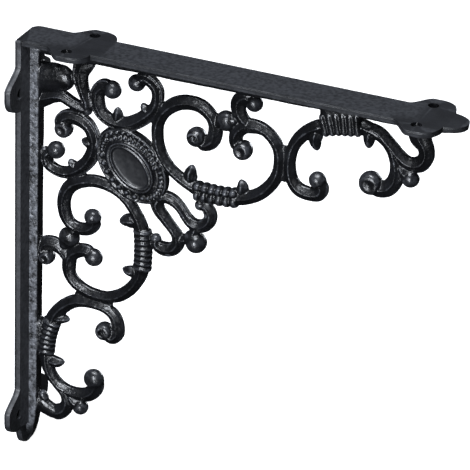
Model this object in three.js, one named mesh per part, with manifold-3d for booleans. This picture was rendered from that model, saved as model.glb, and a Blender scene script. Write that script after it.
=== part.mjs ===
// A cast iron shelf bracket: an arm under the shelf and a leg against the wall, both of T section,
// with a filigree of C scrolls, ridged collars, an oval medallion and balls cast in the angle between.
// Frame: X out of the wall, Y along the wall, Z up. The origin is on the wall face, midway between
// the two upper wall screws. Lengths are millimetres.
import * as THREE from 'three';
import * as BufferGeometryUtils from 'three/addons/utils/BufferGeometryUtils.js';
import Module from 'manifold-3d';

const wasm = await Module();
wasm.setup();

// Overall sizes
const reach = 250;
const drop = 252;

// The T sections of the arm and the leg; each rib is deeper at the corner than at the nose
const armWidth = 22.5;
const legWidth = 24.6;
const edgeThickness = 3.2;
const rootThickness = 4.7;
const ribWidth = 7.5;
const armDepth = { corner: 9.4, nose: 7.6 };
const legDepth = { corner: 10.4, nose: 9.4 };
const edgeChamfer = 0.5;
const nearCornerRadius = 1.2;
const farCornerRadius = 5;
const ribDraft = 0.12;
const closestPlanPoints = 0.05;

// Screw ears
const armFirstEarSpan = 40.8;
const armLastEarSpan = 42.6;
const legEarSpan = 50;
const legEarLead = 2.6;
const earLength = 26;
const screwBore = 5.9;
const screwSpacing = 25.7;
const cornerToFirstScrews = 30.4;
const lastScrewsToNose = 24;
const farEarStagger = 4.4;

// The nose that ends each plate, and the run over which the rib dies into it
const noseLength = 13;
const noseTaper = 3.5;
const ribRunout = 26;

// The scrollwork: width of its usual bar, and its thickness from front to back with the rounder forms on it
const barWidth = 7;
const bandDepth = 6.6;
const ballDepth = 8.6;
const collarDepth = 8.6;
const cornerBossDepth = 8;
const cornerWebDepth = 3.6;
const stepAlongBand = 7.4;

// The medallion: half-lengths along and across its long axis, and its depths from front to back
const medallionLong = 23.4;
const medallionShort = 17.8;
const rimLong = 15.8;
const rimShort = 11.4;
const rimWall = 1.9;
const shellDepth = 5.6;
const rimDepth = 10.4;
const dishDepth = 6.4;
const beadRadius = 2.3;
const beadStand = 1.2;
const beadCount = 22;

// The scrollwork is drawn on a grid of 250 units out by 252 down, as [out, down, half width], with the
// usual bar 7 units wide. It is hand-carved work, so the arm's half and the leg's half match only roughly.
const unitOut = reach / 250;
const unitDown = drop / 252;
const unitAcross = barWidth / 7;

// The arm's half: first number along the arm, second down from the shelf face
const armWork = {
  bands: [
    // corner loop, from its ball beside the corner leaf round to the small ball under the arm
    [[51.2, 22.6, 4.6], [46.4, 22.2, 4.3], [43.2, 25.6, 3.8], [42.9, 31, 3.8], [45, 36.6, 3.6],
      [49.4, 40, 3.4], [55.2, 41.4, 3.7], [61, 40.8, 4], [66.6, 37.8, 4], [71.8, 33.4, 3.9],
      [76.1, 28.4, 3.4], [77.8, 22.2, 3.1], [76.8, 16.2, 3.3], [71.6, 12.4, 3.4], [65.8, 13.6, 4.2]],
    // first C scroll, from its volute over the top and down to the collar
    [[101.5, 42.8, 3.4], [106.2, 42.6, 3.7], [110, 39.6, 3.9], [111.4, 34.5, 3.8], [110.9, 29.5, 3.6],
      [108.4, 25.2, 3.6], [103.4, 21.6, 3.8], [97, 20.6, 3.9], [90.4, 22.1, 3.9], [84.8, 25.8, 3.7],
      [80.7, 31, 3.3], [78.4, 37, 3.1], [78.2, 43.5, 3.1], [79.2, 49.7, 3.2], [82, 55.9, 3.2],
      [86.2, 61.2, 3.1], [91.6, 65.2, 3.1], [98, 68.5, 3.3], [104, 70.7, 4]],
    // its other half, from the collar up and over to the volute under the arm's stem
    [[122, 70.3, 4], [128, 69.4, 3.7], [133.6, 67.3, 3.5], [139.6, 63, 3.4], [144.4, 57.3, 3.4],
      [147.4, 50.8, 3.2], [148.3, 43.6, 3.1], [147.4, 36.8, 3.1], [144, 31, 3.2], [138.4, 27.1, 3.3],
      [132.4, 26.4, 3.9], [127.2, 28, 3.8], [123.7, 32.2, 3.7], [123, 37.2, 3.5], [125, 41.4, 3.5]],
    // stem from that scroll up to the arm, curling over to the small ball
    [[130, 26, 3], [126.4, 23, 3.4], [124, 18.6, 3.9], [124.4, 13.4, 4], [128.4, 10.6, 3.8],
      [132.2, 12.4, 3.8]],
    // second C scroll, from its curled tip up to its collar
    [[169.8, 49.6, 3.9], [172.4, 53.6, 3.7], [170.6, 57.3, 3.8], [165, 58.3, 3.7], [159.2, 56.6, 3.7],
      [155.5, 52, 3.3], [154.1, 46, 3], [154.2, 39.6, 2.9], [155.6, 33.2, 3.1], [159.3, 26.8, 3.5],
      [164.8, 21.5, 3.6], [172, 17.4, 4]],
    // its other half, from the collar round to the big end ball
    [[190, 12.9, 4.4], [198.4, 14.6, 3.5], [205.3, 18, 3.2], [209.9, 23.4, 3.1], [212.2, 29.8, 3.2],
      [212.6, 36, 3.9], [210.8, 41.8, 4.9], [205.6, 45.7, 5.4]],
    // strand from that scroll that hangs on the end of the arm
    [[203, 13.8, 3.2], [208.6, 20.3, 3.3], [213.6, 25.3, 3.4], [219.4, 28.8, 3.7], [225.4, 27.7, 4.2],
      [228.3, 22.8, 4], [227.6, 17.8, 4.2], [224.6, 13, 5.8], [223.8, 6, 5.8]],
    // stalk of the end bud
    [[214, 31, 3.2], [218, 35, 3.6], [220.6, 38, 3.2]],
    // strap from the arm to the tip of the corner leaf
    [[37, 5.4, 6.4], [34.6, 11.6, 5.4], [32.9, 17, 4.4], [33.2, 22, 3.7], [34.9, 27.2, 3.2], [37, 32.4, 3.1],
      [37.4, 37.2, 2.8]],
    // ribbon from the first collar down, up beside the slot and over the slot's top
    [[104.4, 78.8, 2.8], [107.8, 79.2, 3.2], [110.2, 82.8, 3.4], [109.5, 87.6, 3.5], [105.2, 91.4, 3.5],
      [100.4, 91.3, 3.3], [96.5, 88.1, 2.9], [92.5, 83, 2.9], [87.9, 79.6, 3.3], [83.2, 79, 3.3],
      [80.2, 81.2, 3.2]],
    // fillet where the two C scrolls touch
    [[151.1, 33.6, 2.1], [151, 38, 1.5], [151.2, 50, 1.5], [151.2, 54.6, 2.2]],
    // neck through the ball that ties the first C scroll to the stem
    [[110.4, 29.6, 3], [124.2, 24.4, 3]],
  ],
  balls: [[51.4, 22.7, 5.2], [65.5, 15.8, 4.8], [100.7, 39.6, 5.5], [127.3, 41.4, 5.4], [117.3, 26.7, 5.8],
    [132.6, 13.2, 4.9], [169.9, 49.4, 4.8], [199.2, 44.4, 6.5], [220.6, 37.2, 4.8], [104.2, 79, 3.2]],
  collars: [
    { from: [101, 70.7], through: [113, 71.1], to: [125.6, 70.1], ridges: 5, root: 4.5, crest: 5.3 },
    { from: [171, 16.8], through: [181, 14], to: [192.6, 12.2], ridges: 5, root: 5.6, crest: 6.4 },
  ],
  // leaf spikes: middle of the root, middle, tip, half width at the root
  spikes: [
    { root: [98, 66.6], middle: [97.9, 61.4], tip: [99, 56.3], half: 3.7 },
    { root: [127.6, 67], middle: [127.9, 62.8], tip: [126.8, 58.6], half: 3.4 },
    { root: [168, 21], middle: [167.4, 27], tip: [168.9, 32.6], half: 3.7 },
    { root: [197.2, 15], middle: [197, 20.4], tip: [197, 25.2], half: 3.3 },
    { root: [55, 40], middle: [55, 35.6], tip: [54.8, 32], half: 2.9 },
    { root: [72.4, 31.6], middle: [70.2, 28.8], tip: [68.9, 26.6], half: 2.5 },
  ],
};

// The leg's half: first number down the leg, second out from the wall face
const legWork = {
  bands: [
    [[51.4, 23.2, 4.6], [46.8, 22.8, 4.4], [43.8, 26.4, 4], [43.8, 32, 4.1], [46.7, 37.6, 3.8],
      [51.6, 40.7, 3.6], [57.2, 41.6, 3.7], [63.2, 40.3, 3.8], [69, 37.1, 3.8], [73.6, 32.4, 3.6],
      [76.7, 27, 3.3], [77.3, 20.8, 3], [74.8, 15, 3.1], [70.4, 13.2, 3.4], [65.8, 15.6, 4.8]],
    [[101.6, 42.8, 3], [105.3, 42.1, 3.4], [108.6, 38.2, 3.5], [109.4, 32.8, 3.5], [107.5, 28, 3.5],
      [103.2, 25, 3.6], [97, 23.7, 3.6], [90.4, 24.6, 3.7], [84.9, 27.8, 3.8], [81.3, 32.8, 3.6],
      [79.2, 39, 3.4], [78.7, 45.2, 3.4], [79.8, 51.5, 3.2], [82.5, 57.5, 3.1], [86.9, 62.7, 3.1],
      [92.7, 66.9, 3.2], [98.6, 69.8, 3.6], [104, 71, 4]],
    [[123, 71.4, 4], [128.8, 70.4, 3.5], [134.3, 67.8, 3.4], [140.2, 63.6, 3.4], [144.9, 57.9, 3.4],
      [147.5, 51.5, 3.2], [147.9, 45, 3.1], [146.7, 38, 3.2], [143.5, 31.6, 3.4], [138.4, 27.7, 3.5],
      [132.4, 27.2, 3.9], [127.1, 28.5, 3.7], [123.3, 32.8, 3.8], [122, 37.4, 3.6], [123.4, 41.6, 3.5]],
    [[130, 26.2, 3], [125.6, 23.6, 3.5], [122.5, 19, 4.2], [123, 13.6, 4], [127, 10.8, 3.7],
      [131, 12.6, 3.2]],
    [[169.2, 50, 3.8], [172.4, 53.6, 3.7], [169, 57.3, 3.5], [163, 57.3, 3.5], [157.5, 54.5, 3.4],
      [154.7, 49.7, 3.1], [153.8, 44, 2.9], [153.7, 38, 3.1], [154.9, 31.3, 3.6], [159.1, 25.1, 3.8],
      [164.7, 20.2, 4], [172, 16.8, 4.4]],
    [[190, 13.8, 4.2], [198.6, 14.6, 3.4], [205.4, 17.4, 3.3], [210.5, 22.4, 3.3], [213, 28.4, 3.3],
      [213.5, 34.4, 3.9], [211.6, 39.5, 4.5], [206.9, 43.5, 5]],
    [[203.6, 13.6, 3], [209.6, 20.7, 3.1], [214.5, 25.2, 3.1], [219.9, 27.1, 3.4], [225.3, 25.3, 4],
      [228.3, 20.6, 4.8], [227.3, 15.6, 5], [225.2, 11, 5.4], [223.8, 6, 5]],
    [[215, 28, 3], [219, 32, 3.6], [221.2, 35.4, 3.2]],
    [[37.8, 5.4, 6], [35.6, 11.6, 4.8], [33.5, 17, 3.8], [32.8, 22, 3.3], [34.8, 27, 3.1], [36.7, 32.4, 3],
      [37.1, 37.2, 2.8]],
    [[105.2, 78.8, 2.8], [108.8, 80.2, 3.4], [110.1, 84.2, 3.8], [108.9, 88.9, 3.6], [104.5, 92, 3.5],
      [99.8, 91.2, 3.1], [95.5, 87.8, 2.9], [91.2, 83.9, 3.1], [87.1, 80.3, 3.4], [83.4, 79.2, 3.4],
      [80.6, 80.8, 3.2]],
    [[149.9, 31, 2.3], [150.6, 37, 1.6], [151.2, 49, 1.5], [152, 54.2, 2.2]],
    [[108.8, 31, 3], [123.2, 23.6, 3]],
  ],
  balls: [[51.4, 23.3, 5.1], [65.2, 18.8, 5.1], [101, 41.1, 4.9], [125.2, 42, 5.2], [116.2, 27.2, 6.1],
    [131.3, 13.8, 4.4], [169.2, 49.3, 5.2], [201.4, 43.3, 6.1], [221.3, 35.2, 4.6], [105, 78.8, 3]],
  collars: [
    { from: [101, 70.8], through: [113, 71.6], to: [125.6, 71], ridges: 6, root: 4.9, crest: 5.5 },
    { from: [170, 17.6], through: [181, 14.6], to: [191.6, 13.4], ridges: 6, root: 4.9, crest: 5.5 },
  ],
  spikes: [
    { root: [97.4, 67], middle: [97.9, 61.8], tip: [99.8, 57.2], half: 4 },
    { root: [128.3, 67.4], middle: [128.4, 63], tip: [127.6, 59.2], half: 3.1 },
    { root: [168.6, 20], middle: [167.6, 24.6], tip: [167.4, 28.2], half: 2.8 },
    { root: [196.2, 15.6], middle: [196.1, 21], tip: [195.2, 25.2], half: 3.3 },
    { root: [57, 40], middle: [56.4, 36.6], tip: [55.8, 33.8], half: 2.9 },
    { root: [73, 30], middle: [70.8, 28], tip: [68.6, 26.8], half: 2.5 },
  ],
};

// Forms on the diagonal between the two halves: [out, down, radius]
const medallionCentre = [64.3, 64.3];
const endBall = [102.4, 101.9, 5.9];
const endBallNeck = [endBall[0] - 2.8, endBall[1] - 2.3, 4.2];
const leafTip = [37, 37.8, 3];
const cornerBoss = [22, 21.9, 7.5];
const cornerWeb = { from: [6, 15.4], to: [24, 34] };
const endBallRoots = [
  [[102.4, 92.6, 2.6], [endBall[0] - 2, endBall[1] - 3.3, 3]],
  [[92.6, 102.4, 2.6], [endBall[0] - 3.8, endBall[1] - 1.5, 3]],
];
const tongue = [[45.8, 51.2, 1.8], [51.2, 45.8, 1.8]];

// A closed geometry as a solid that can be joined and cut
function solid(geometry) {
  const bare = geometry.clone();
  bare.deleteAttribute('normal');
  bare.deleteAttribute('uv');
  const merged = BufferGeometryUtils.mergeVertices(bare, 1e-4);
  const vertProperties = new Float32Array(merged.getAttribute('position').array);
  const triVerts = new Uint32Array(merged.getIndex().array);
  return new wasm.Manifold(new wasm.Mesh({ numProp: 3, vertProperties, triVerts }));
}

// A solid back as a geometry
function toGeometry(body) {
  const mesh = body.getMesh();
  const geometry = new THREE.BufferGeometry();
  geometry.setAttribute('position', new THREE.BufferAttribute(new Float32Array(mesh.vertProperties), 3));
  geometry.setIndex(new THREE.BufferAttribute(new Uint32Array(mesh.triVerts), 1));
  geometry.computeVertexNormals();
  return geometry;
}

// Joins two by two, so that no join is between one large solid and one small one
function joinAll(bodies) {
  let level = bodies;
  while (level.length > 1) {
    const next = [];
    for (let i = 0; i < level.length; i += 2) {
      next.push(i + 1 < level.length ? level[i].add(level[i + 1]) : level[i]);
    }
    level = next;
  }
  return level[0];
}

// Turns the arm into the leg: out from the wall and down from the shelf change places
function acrossTheDiagonal(geometry) {
  const flipped = geometry.index ? geometry.toNonIndexed() : geometry.clone();
  const position = flipped.getAttribute('position');
  for (let i = 0; i < position.count; i += 3) {
    const corners = [0, 2, 1].map((k) => new THREE.Vector3().fromBufferAttribute(position, i + k));
    corners.forEach((corner, k) => position.setXYZ(i + k, -corner.z, corner.y, -corner.x));
  }
  return flipped;
}

// The cast bar section: a ridge along the front and back, and sides that fall away to the parting line
const bandSection = new THREE.Shape([
  [1.04, -0.34], [1.04, 0.34], [0, 1], [-1.04, 0.34], [-1.04, -0.34], [0, -1],
].map(([across, depth]) => new THREE.Vector2(across, depth)));

// A bar of that section, made straight and then bent along a curve that carries the half width in y
function bar(curve, steps, halfDepth, halfWidthAt) {
  const straight = new THREE.ExtrudeGeometry(bandSection, { steps, depth: 1, bevelEnabled: false });
  const position = straight.getAttribute('position');
  for (let i = 0; i < position.count; i += 1) {
    const along = THREE.MathUtils.clamp(position.getZ(i), 0, 1);
    const centre = curve.getPointAt(along);
    const direction = curve.getTangentAt(along).setY(0).normalize();
    const halfWidth = halfWidthAt ? halfWidthAt(along) : centre.y;
    const across = position.getX(i) * halfWidth;
    const depth = position.getY(i) * Math.min(halfDepth, halfWidth * 1.15);
    position.setXYZ(i, centre.x - direction.z * across, depth, -(centre.z + direction.x * across));
  }
  return straight;
}

// Grid places as points of the curve that a bar follows: x out, z down, y the half width
function curveThrough(points) {
  const places = points.map(([out, down, half]) => (
    new THREE.Vector3(out * unitOut, half * unitAcross, down * unitDown)));
  return new THREE.CatmullRomCurve3(places, false, 'centripetal');
}

function band(points) {
  const curve = curveThrough(points);
  return bar(curve, Math.ceil(curve.getLength() / stepAlongBand), bandDepth / 2);
}

function ball([out, down, size], depth = ballDepth) {
  const radius = size * unitAcross;
  const sphere = new THREE.SphereGeometry(radius, 7, 4);
  sphere.rotateX(Math.PI / 2);
  sphere.scale(1, Math.min(1, depth / 2 / radius), 1);
  sphere.translate(out * unitOut, 0, -down * unitDown);
  return sphere;
}

// A collar of turned ridges round a bar
function collar({ from, through, to, ridges, root, crest }) {
  const curve = curveThrough([[...from, crest], [...through, crest], [...to, crest]]);
  const halfWidthAt = (along) => {
    const swell = Math.abs(Math.sin(along * ridges * Math.PI));
    return (root + (crest - root) * swell) * unitAcross;
  };
  return bar(curve, ridges * 2, collarDepth / 2, halfWidthAt);
}

function spike({ root, middle, tip, half }) {
  const curve = curveThrough([[...root, half], [...middle, half * 0.9], [...tip, half * 0.34]]);
  return bar(curve, 2, bandDepth / 2);
}

// Both halves share the same grid: the leg's places are written the other way round
function swapPlace([along, away, ...rest]) {
  return [away, along, ...rest];
}

function halfOfTheWork(work, swap) {
  const place = swap ? swapPlace : (point) => point;
  return [
    ...work.bands.map((points) => band(points.map(place))),
    ...work.balls.map((each) => ball(place(each))),
    ...work.collars.map((each) => collar({
      ...each, from: place(each.from), through: place(each.through), to: place(each.to),
    })),
    ...work.spikes.map((each) => spike({
      ...each, root: place(each.root), middle: place(each.middle), tip: place(each.tip),
    })),
  ];
}

// How far an ear stands out, as a share of its full reach: a long sloping shoulder towards the corner,
// a short flat edge, and a blunt rounded end towards the nose. Place runs from -1 to 1 along the ear.
const earFlat = { from: -0.16, to: 0.2 };
function earProfile(place) {
  if (Math.abs(place) >= 1) return 0;
  if (place < earFlat.from) return THREE.MathUtils.smoothstep(place, -1, earFlat.from);
  if (place <= earFlat.to) return 1;
  const left = (place - earFlat.to) / (1 - earFlat.to);
  return Math.sqrt(1 - left * left);
}
const earPlaces = [-1, -0.8, -0.6, -0.4, -0.16, 0.2, 0.55, 0.8, 0.94, 1];

// Half the width of a plate at a distance along it, out to its ears, each [centre, span]
function plateHalfWidth(along, length, width, ears) {
  const intoNose = Math.max(0, (along - (length - noseLength)) / noseLength);
  const tapered = (width - noseTaper) / 2 * Math.sqrt(Math.max(0, 1 - intoNose * intoNose));
  const base = intoNose > 0 ? tapered : width / 2;
  const reaches = ears.map(([centre, span]) => {
    const stand = Math.max(0, span / 2 - base);
    return stand * earProfile((along - centre) / (earLength / 2));
  });
  return base + Math.max(...reaches);
}

// One side of a plate's plan, as [along, half width] from the corner to the nose
function planSide(length, width, ears, cornerRadius) {
  const corner = [90, 60, 30, 0].map((degrees) => {
    const turn = THREE.MathUtils.degToRad(degrees);
    return [cornerRadius * (1 - Math.sin(turn)), width / 2 - cornerRadius * (1 - Math.cos(turn))];
  });
  const stations = ears.flatMap(([centre]) => earPlaces.map((place) => centre + place * earLength / 2));
  const noseAngles = [0, 22, 42, 58, 72, 83];
  stations.push(...noseAngles.map((angle) => length - noseLength
    + noseLength * Math.sin(THREE.MathUtils.degToRad(angle))));
  stations.sort((a, b) => a - b);
  const apart = stations.filter((along, i) => i === 0 || along - stations[i - 1] > closestPlanPoints);
  return [...corner, ...apart.map((along) => [along, plateHalfWidth(along, length, width, ears)])];
}

// A plate as it lies on the shelf arm: shelf face up at z = 0, wall end at x = 0, screw holes bored
function plate({ length, width, firstEarSpan, lastEarSpan, earLead, stagger }) {
  const lastScrews = length - lastScrewsToNose;
  const firstEar = cornerToFirstScrews - earLead;
  const lastEar = [lastScrews - earLead, lastEarSpan];
  const near = planSide(length, width, [[firstEar, firstEarSpan], lastEar], nearCornerRadius);
  const far = planSide(length, width, [[firstEar + stagger, firstEarSpan], lastEar], farCornerRadius);
  const outline = [
    ...near.map(([along, half]) => new THREE.Vector2(along, -half)),
    new THREE.Vector2(length, 0),
    ...far.reverse().map(([along, half]) => new THREE.Vector2(along, half)),
  ];
  const slab = new THREE.ExtrudeGeometry(new THREE.Shape(outline), {
    depth: edgeThickness - 2 * edgeChamfer,
    bevelThickness: edgeChamfer,
    bevelSize: edgeChamfer,
    bevelOffset: -edgeChamfer,
    bevelSegments: 1,
  });
  slab.translate(0, 0, edgeChamfer - edgeThickness);
  let body = solid(slab);
  const holes = [
    [cornerToFirstScrews, -1], [cornerToFirstScrews + stagger, 1], [lastScrews, -1], [lastScrews, 1],
  ];
  for (const [along, side] of holes) {
    const bore = new THREE.CylinderGeometry(screwBore / 2, screwBore / 2, 3 * edgeThickness, 12);
    bore.rotateX(Math.PI / 2);
    bore.translate(along, side * screwSpacing / 2, -edgeThickness / 2);
    body = body.subtract(solid(bore));
  }
  return body;
}

// The draft of the plate's hidden face, thickening towards the rib
function draft(length, width) {
  const lip = width / 2 - edgeChamfer;
  const section = new THREE.Shape([
    [-lip, -edgeThickness / 2], [-lip, -edgeThickness + edgeChamfer / 2], [-ribWidth / 2, -rootThickness],
    [ribWidth / 2, -rootThickness], [lip, -edgeThickness + edgeChamfer / 2], [lip, -edgeThickness / 2],
  ].map(([across, up]) => new THREE.Vector2(across, up)));
  const run = length - noseLength - edgeThickness;
  const wedge = new THREE.ExtrudeGeometry(section, { steps: 1, depth: run, bevelEnabled: false });
  wedge.rotateX(Math.PI / 2);
  wedge.rotateZ(Math.PI / 2);
  wedge.translate(edgeThickness / 2, 0, 0);
  return wedge;
}

// The rib down the middle, with slightly drafted sides, dying into the nose like a hull
function rib(length, depth) {
  const start = edgeThickness / 2;
  const top = -edgeThickness / 2;
  const profile = new THREE.Shape();
  profile.moveTo(start, top);
  profile.lineTo(start, -depth.corner);
  profile.lineTo(length - ribRunout, -depth.nose);
  const hullSteps = 5;
  for (let i = 1; i <= hullSteps; i += 1) {
    const turn = (i / hullSteps) * Math.PI / 2;
    const along = length - ribRunout + (ribRunout - edgeThickness / 2) * Math.sin(turn);
    profile.lineTo(along, top - (depth.nose + top) * Math.cos(turn));
  }
  const slab = new THREE.ExtrudeGeometry(profile, { depth: ribWidth, bevelEnabled: false });
  slab.rotateX(Math.PI / 2);
  slab.translate(0, ribWidth / 2, 0);
  const position = slab.getAttribute('position');
  for (let i = 0; i < position.count; i += 1) {
    const down = (top - position.getZ(i)) / (depth.corner + top);
    position.setY(i, position.getY(i) * (1 - ribDraft * down));
  }
  return slab;
}

// A turned form on the Y axis, from half its profile, stretched to the oval that lies along the diagonal
function oval(profile, long, short, sides) {
  const front = profile.map(([radius, depth]) => new THREE.Vector2(radius, depth / 2));
  const back = profile.map(([radius, depth]) => new THREE.Vector2(radius, -depth / 2)).reverse();
  const turned = new THREE.LatheGeometry([...back, ...front], sides);
  turned.scale(long, 1, short);
  turned.rotateY(Math.PI / 4);
  turned.translate(medallionCentre[0] * unitOut, 0, -medallionCentre[1] * unitDown);
  return turned;
}

// The medallion: a dished oval inside a raised rim, on a shell with a ring of beads
function medallion() {
  const crest = 1 - rimWall / 2 / rimShort;
  const inner = 1 - rimWall / rimShort;
  const lip = [[1, 0.4 * shellDepth], [0.94, shellDepth], [0, shellDepth]];
  const shell = oval(lip, medallionLong, medallionShort, 24);
  const rim = oval([
    [1, shellDepth], [1, 0.84 * rimDepth], [crest, rimDepth], [inner, 0.8 * rimDepth],
    [0.9 * inner, dishDepth], [0, dishDepth],
  ], rimLong, rimShort, 24);
  const beads = [];
  for (let i = 0; i < beadCount; i += 1) {
    const turn = (i + 0.5) / beadCount * 2 * Math.PI;
    const bead = new THREE.SphereGeometry(beadRadius, 5, 3);
    bead.scale(1, (shellDepth / 2 + beadStand) / beadRadius, 1);
    bead.translate(
      (medallionLong + rimLong) / 2 * Math.cos(turn), 0, (medallionShort + rimShort) / 2 * Math.sin(turn),
    );
    bead.rotateY(Math.PI / 4);
    bead.translate(medallionCentre[0] * unitOut, 0, -medallionCentre[1] * unitDown);
    beads.push(bead);
  }
  return [shell, rim, ...beads, band(tongue)];
}

// The small leaf in the corner: a boss, the tip where its two straps meet, and the web to the leg's rib
function cornerLeaf() {
  const [fromOut, fromDown] = cornerWeb.from;
  const [toOut, toDown] = cornerWeb.to;
  const long = (toDown - fromDown) * unitDown;
  const web = new THREE.BoxGeometry((toOut - fromOut) * unitOut, cornerWebDepth, long);
  web.translate((fromOut + toOut) / 2 * unitOut, 0, -(fromDown + toDown) / 2 * unitDown);
  return [ball(cornerBoss, cornerBossDepth), ball(leafTip), web];
}

const armBody = joinAll([
  plate({
    length: reach, width: armWidth, firstEarSpan: armFirstEarSpan, lastEarSpan: armLastEarSpan,
    earLead: 0, stagger: farEarStagger,
  }),
  solid(draft(reach, armWidth)),
  solid(rib(reach, armDepth)),
]);
const legPlate = plate({
  length: drop, width: legWidth, firstEarSpan: legEarSpan, lastEarSpan: legEarSpan,
  earLead: legEarLead, stagger: 0,
});
const legBody = joinAll([
  solid(acrossTheDiagonal(toGeometry(legPlate))),
  solid(acrossTheDiagonal(draft(drop, legWidth))),
  solid(acrossTheDiagonal(rib(drop, legDepth))),
]);
const work = [
  ...halfOfTheWork(armWork, false),
  ...halfOfTheWork(legWork, true),
  ...medallion(),
  ...cornerLeaf(),
  ball(endBall, 2 * endBall[2] * unitAcross),
  ball(endBallNeck),
  ...endBallRoots.map(band),
];
const casting = joinAll([armBody, legBody, ...work.map(solid)]);

// Iron black paint, with a slight sheen
const blackIron = new THREE.MeshStandardMaterial({ color: 0x2b2d31, roughness: 0.5, metalness: 0.35 });

const bracket = new THREE.Mesh(toGeometry(casting), blackIron);
bracket.name = 'bracket';
bracket.position.set(0, 0, cornerToFirstScrews);

const shelfBracket = new THREE.Group();
shelfBracket.add(bracket);

export default shelfBracket;
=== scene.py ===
"""The looks of an ornate cast iron shelf bracket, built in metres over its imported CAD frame."""

import logging
import math
from collections.abc import Callable, Sequence
from dataclasses import dataclass
from enum import Enum
from itertools import pairwise

import bmesh
import bpy
from bmesh.types import BMEdge, BMesh, BMVert
from mathutils import Matrix, Vector, noise


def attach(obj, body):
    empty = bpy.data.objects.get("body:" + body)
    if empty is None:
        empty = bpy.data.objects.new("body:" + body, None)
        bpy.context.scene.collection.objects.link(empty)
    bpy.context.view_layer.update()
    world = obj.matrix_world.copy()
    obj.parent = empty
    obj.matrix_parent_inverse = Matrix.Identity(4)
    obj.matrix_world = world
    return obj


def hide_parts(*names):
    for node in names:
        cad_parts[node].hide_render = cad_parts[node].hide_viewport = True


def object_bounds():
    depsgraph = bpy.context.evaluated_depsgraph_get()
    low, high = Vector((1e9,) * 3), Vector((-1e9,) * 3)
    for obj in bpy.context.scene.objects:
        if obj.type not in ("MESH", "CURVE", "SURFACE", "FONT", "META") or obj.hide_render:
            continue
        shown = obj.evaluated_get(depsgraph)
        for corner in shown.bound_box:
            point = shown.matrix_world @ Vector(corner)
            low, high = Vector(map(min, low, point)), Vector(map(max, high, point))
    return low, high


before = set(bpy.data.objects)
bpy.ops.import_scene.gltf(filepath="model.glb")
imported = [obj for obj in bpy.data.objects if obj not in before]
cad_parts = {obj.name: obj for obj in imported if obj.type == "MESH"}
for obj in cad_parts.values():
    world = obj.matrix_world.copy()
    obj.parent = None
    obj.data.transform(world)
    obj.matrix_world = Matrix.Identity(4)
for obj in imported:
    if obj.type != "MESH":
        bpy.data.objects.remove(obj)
CAD_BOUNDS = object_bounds()
LOG = logging.getLogger("bracket")

Mark = tuple[float, float, float]
Spot = tuple[float, float]

# The casting is drawn in millimetres from its corner: X out of the wall, Z up from the shelf face.
CORNER_TO_ORIGIN = 30.4
TO_ROW = Matrix.Translation((0.0, 0.0, CORNER_TO_ORIGIN / 1000)) @ Matrix.Scale(0.001, 4)
ACROSS_THE_DIAGONAL = Matrix(((0, 0, -1, 0), (0, 1, 0, 0), (-1, 0, 0, 0), (0, 0, 0, 1)))


def other_side(half: Sequence[Spot]) -> list[Spot]:
    """The mirror image of half a line, so that the two join up across the middle."""
    return [(-across, depth) for across, depth in reversed(half)]


# Flanks of the cast bars' sections from the side to near the crest, and the crest
RIDGED_FLANK = ((1.03, 0.0), (1.06, 0.26), (0.95, 0.46), (0.62, 0.66), (0.3, 0.82), (0.14, 0.93))
BORDERED_FLANK = (
    (1.03, 0.0), (1.06, 0.36), (0.98, 0.6), (0.84, 0.62), (0.68, 0.46), (0.34, 0.76), (0.14, 0.92),
)
ROUND_FLANK = ((1.0, 0.0), (0.92, 0.38), (0.71, 0.71), (0.38, 0.92))
FLAT_FLANK = ((1.0, 0.0), (1.0, 0.66), (0.93, 0.88), (0.7, 1.0))
CREST = (0.0, 1.08)
TOP = (0.0, 1.0)


class Section(Enum):
    """Front line of a bar's section, from one side to the other, in shares of half width and depth."""

    RIDGED = (*RIDGED_FLANK, CREST, *other_side(RIDGED_FLANK))
    BORDERED = (*BORDERED_FLANK, CREST, *other_side(RIDGED_FLANK))
    ROUND = (*ROUND_FLANK, TOP, *other_side(ROUND_FLANK))
    FLAT = (*FLAT_FLANK, TOP, *other_side(FLAT_FLANK))
    PARTED = (
        (1.02, 0.0), (1.0, 0.4), (0.86, 0.76), (0.5, 0.97), (0.14, 0.97), (-0.08, 0.82), (-0.2, 0.74),
        (-0.36, 0.9), (-0.62, 0.96), (-0.88, 0.74), (-1.02, 0.36), (-1.02, 0.0),
    )

    def outline(self) -> list[Spot]:
        """The closed section, front line first.

        Returns:
            Points as (across, depth), the front at negative depth.
        """
        front = [(across, -depth) for across, depth in self.value]
        return front + list(reversed(self.value[1:-1]))


class Curl(Enum):
    """How the face of a ball at the end of a scroll is cut."""

    PLAIN = "plain"
    DIMPLED = "dimpled"
    SPIRAL = "spiral"


def put_in_scene(name: str, data: bpy.types.ID) -> bpy.types.Object:
    """Puts some data in the scene as a new object.

    Args:
        name: The object's name.
        data: Its mesh, lamp or camera.

    Returns:
        The new object, at the origin.
    """
    thing = bpy.data.objects.new(name, data)
    bpy.context.scene.collection.objects.link(thing)
    return thing


def way_back(azimuth: float, elevation: float) -> Vector:
    """The way from what is looked at back to the eye or lamp, for angles in radians."""
    level = math.cos(elevation)
    return Vector((math.sin(azimuth) * level, -math.cos(azimuth) * level, math.sin(elevation)))


def triangles(data: bpy.types.Mesh) -> int:
    """How many triangles a mesh comes to."""
    return sum(len(face.vertices) - 2 for face in data.polygons)


@dataclass(frozen=True)
class Station:
    """A place along a bar: its middle, its direction, and its half width and half depth there."""

    middle: Vector
    direction: Vector
    half: float
    depth: float

    def matrix(self) -> Matrix:
        """Places a section drawn in shares of half width (X) and half depth (Y) at this station."""
        across = Vector((0.0, 1.0, 0.0)).cross(self.direction)
        placed = Matrix((across * self.half, Vector((0.0, self.depth, 0.0)), self.direction)).transposed()
        return Matrix.Translation(self.middle) @ placed.to_4x4()


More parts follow.
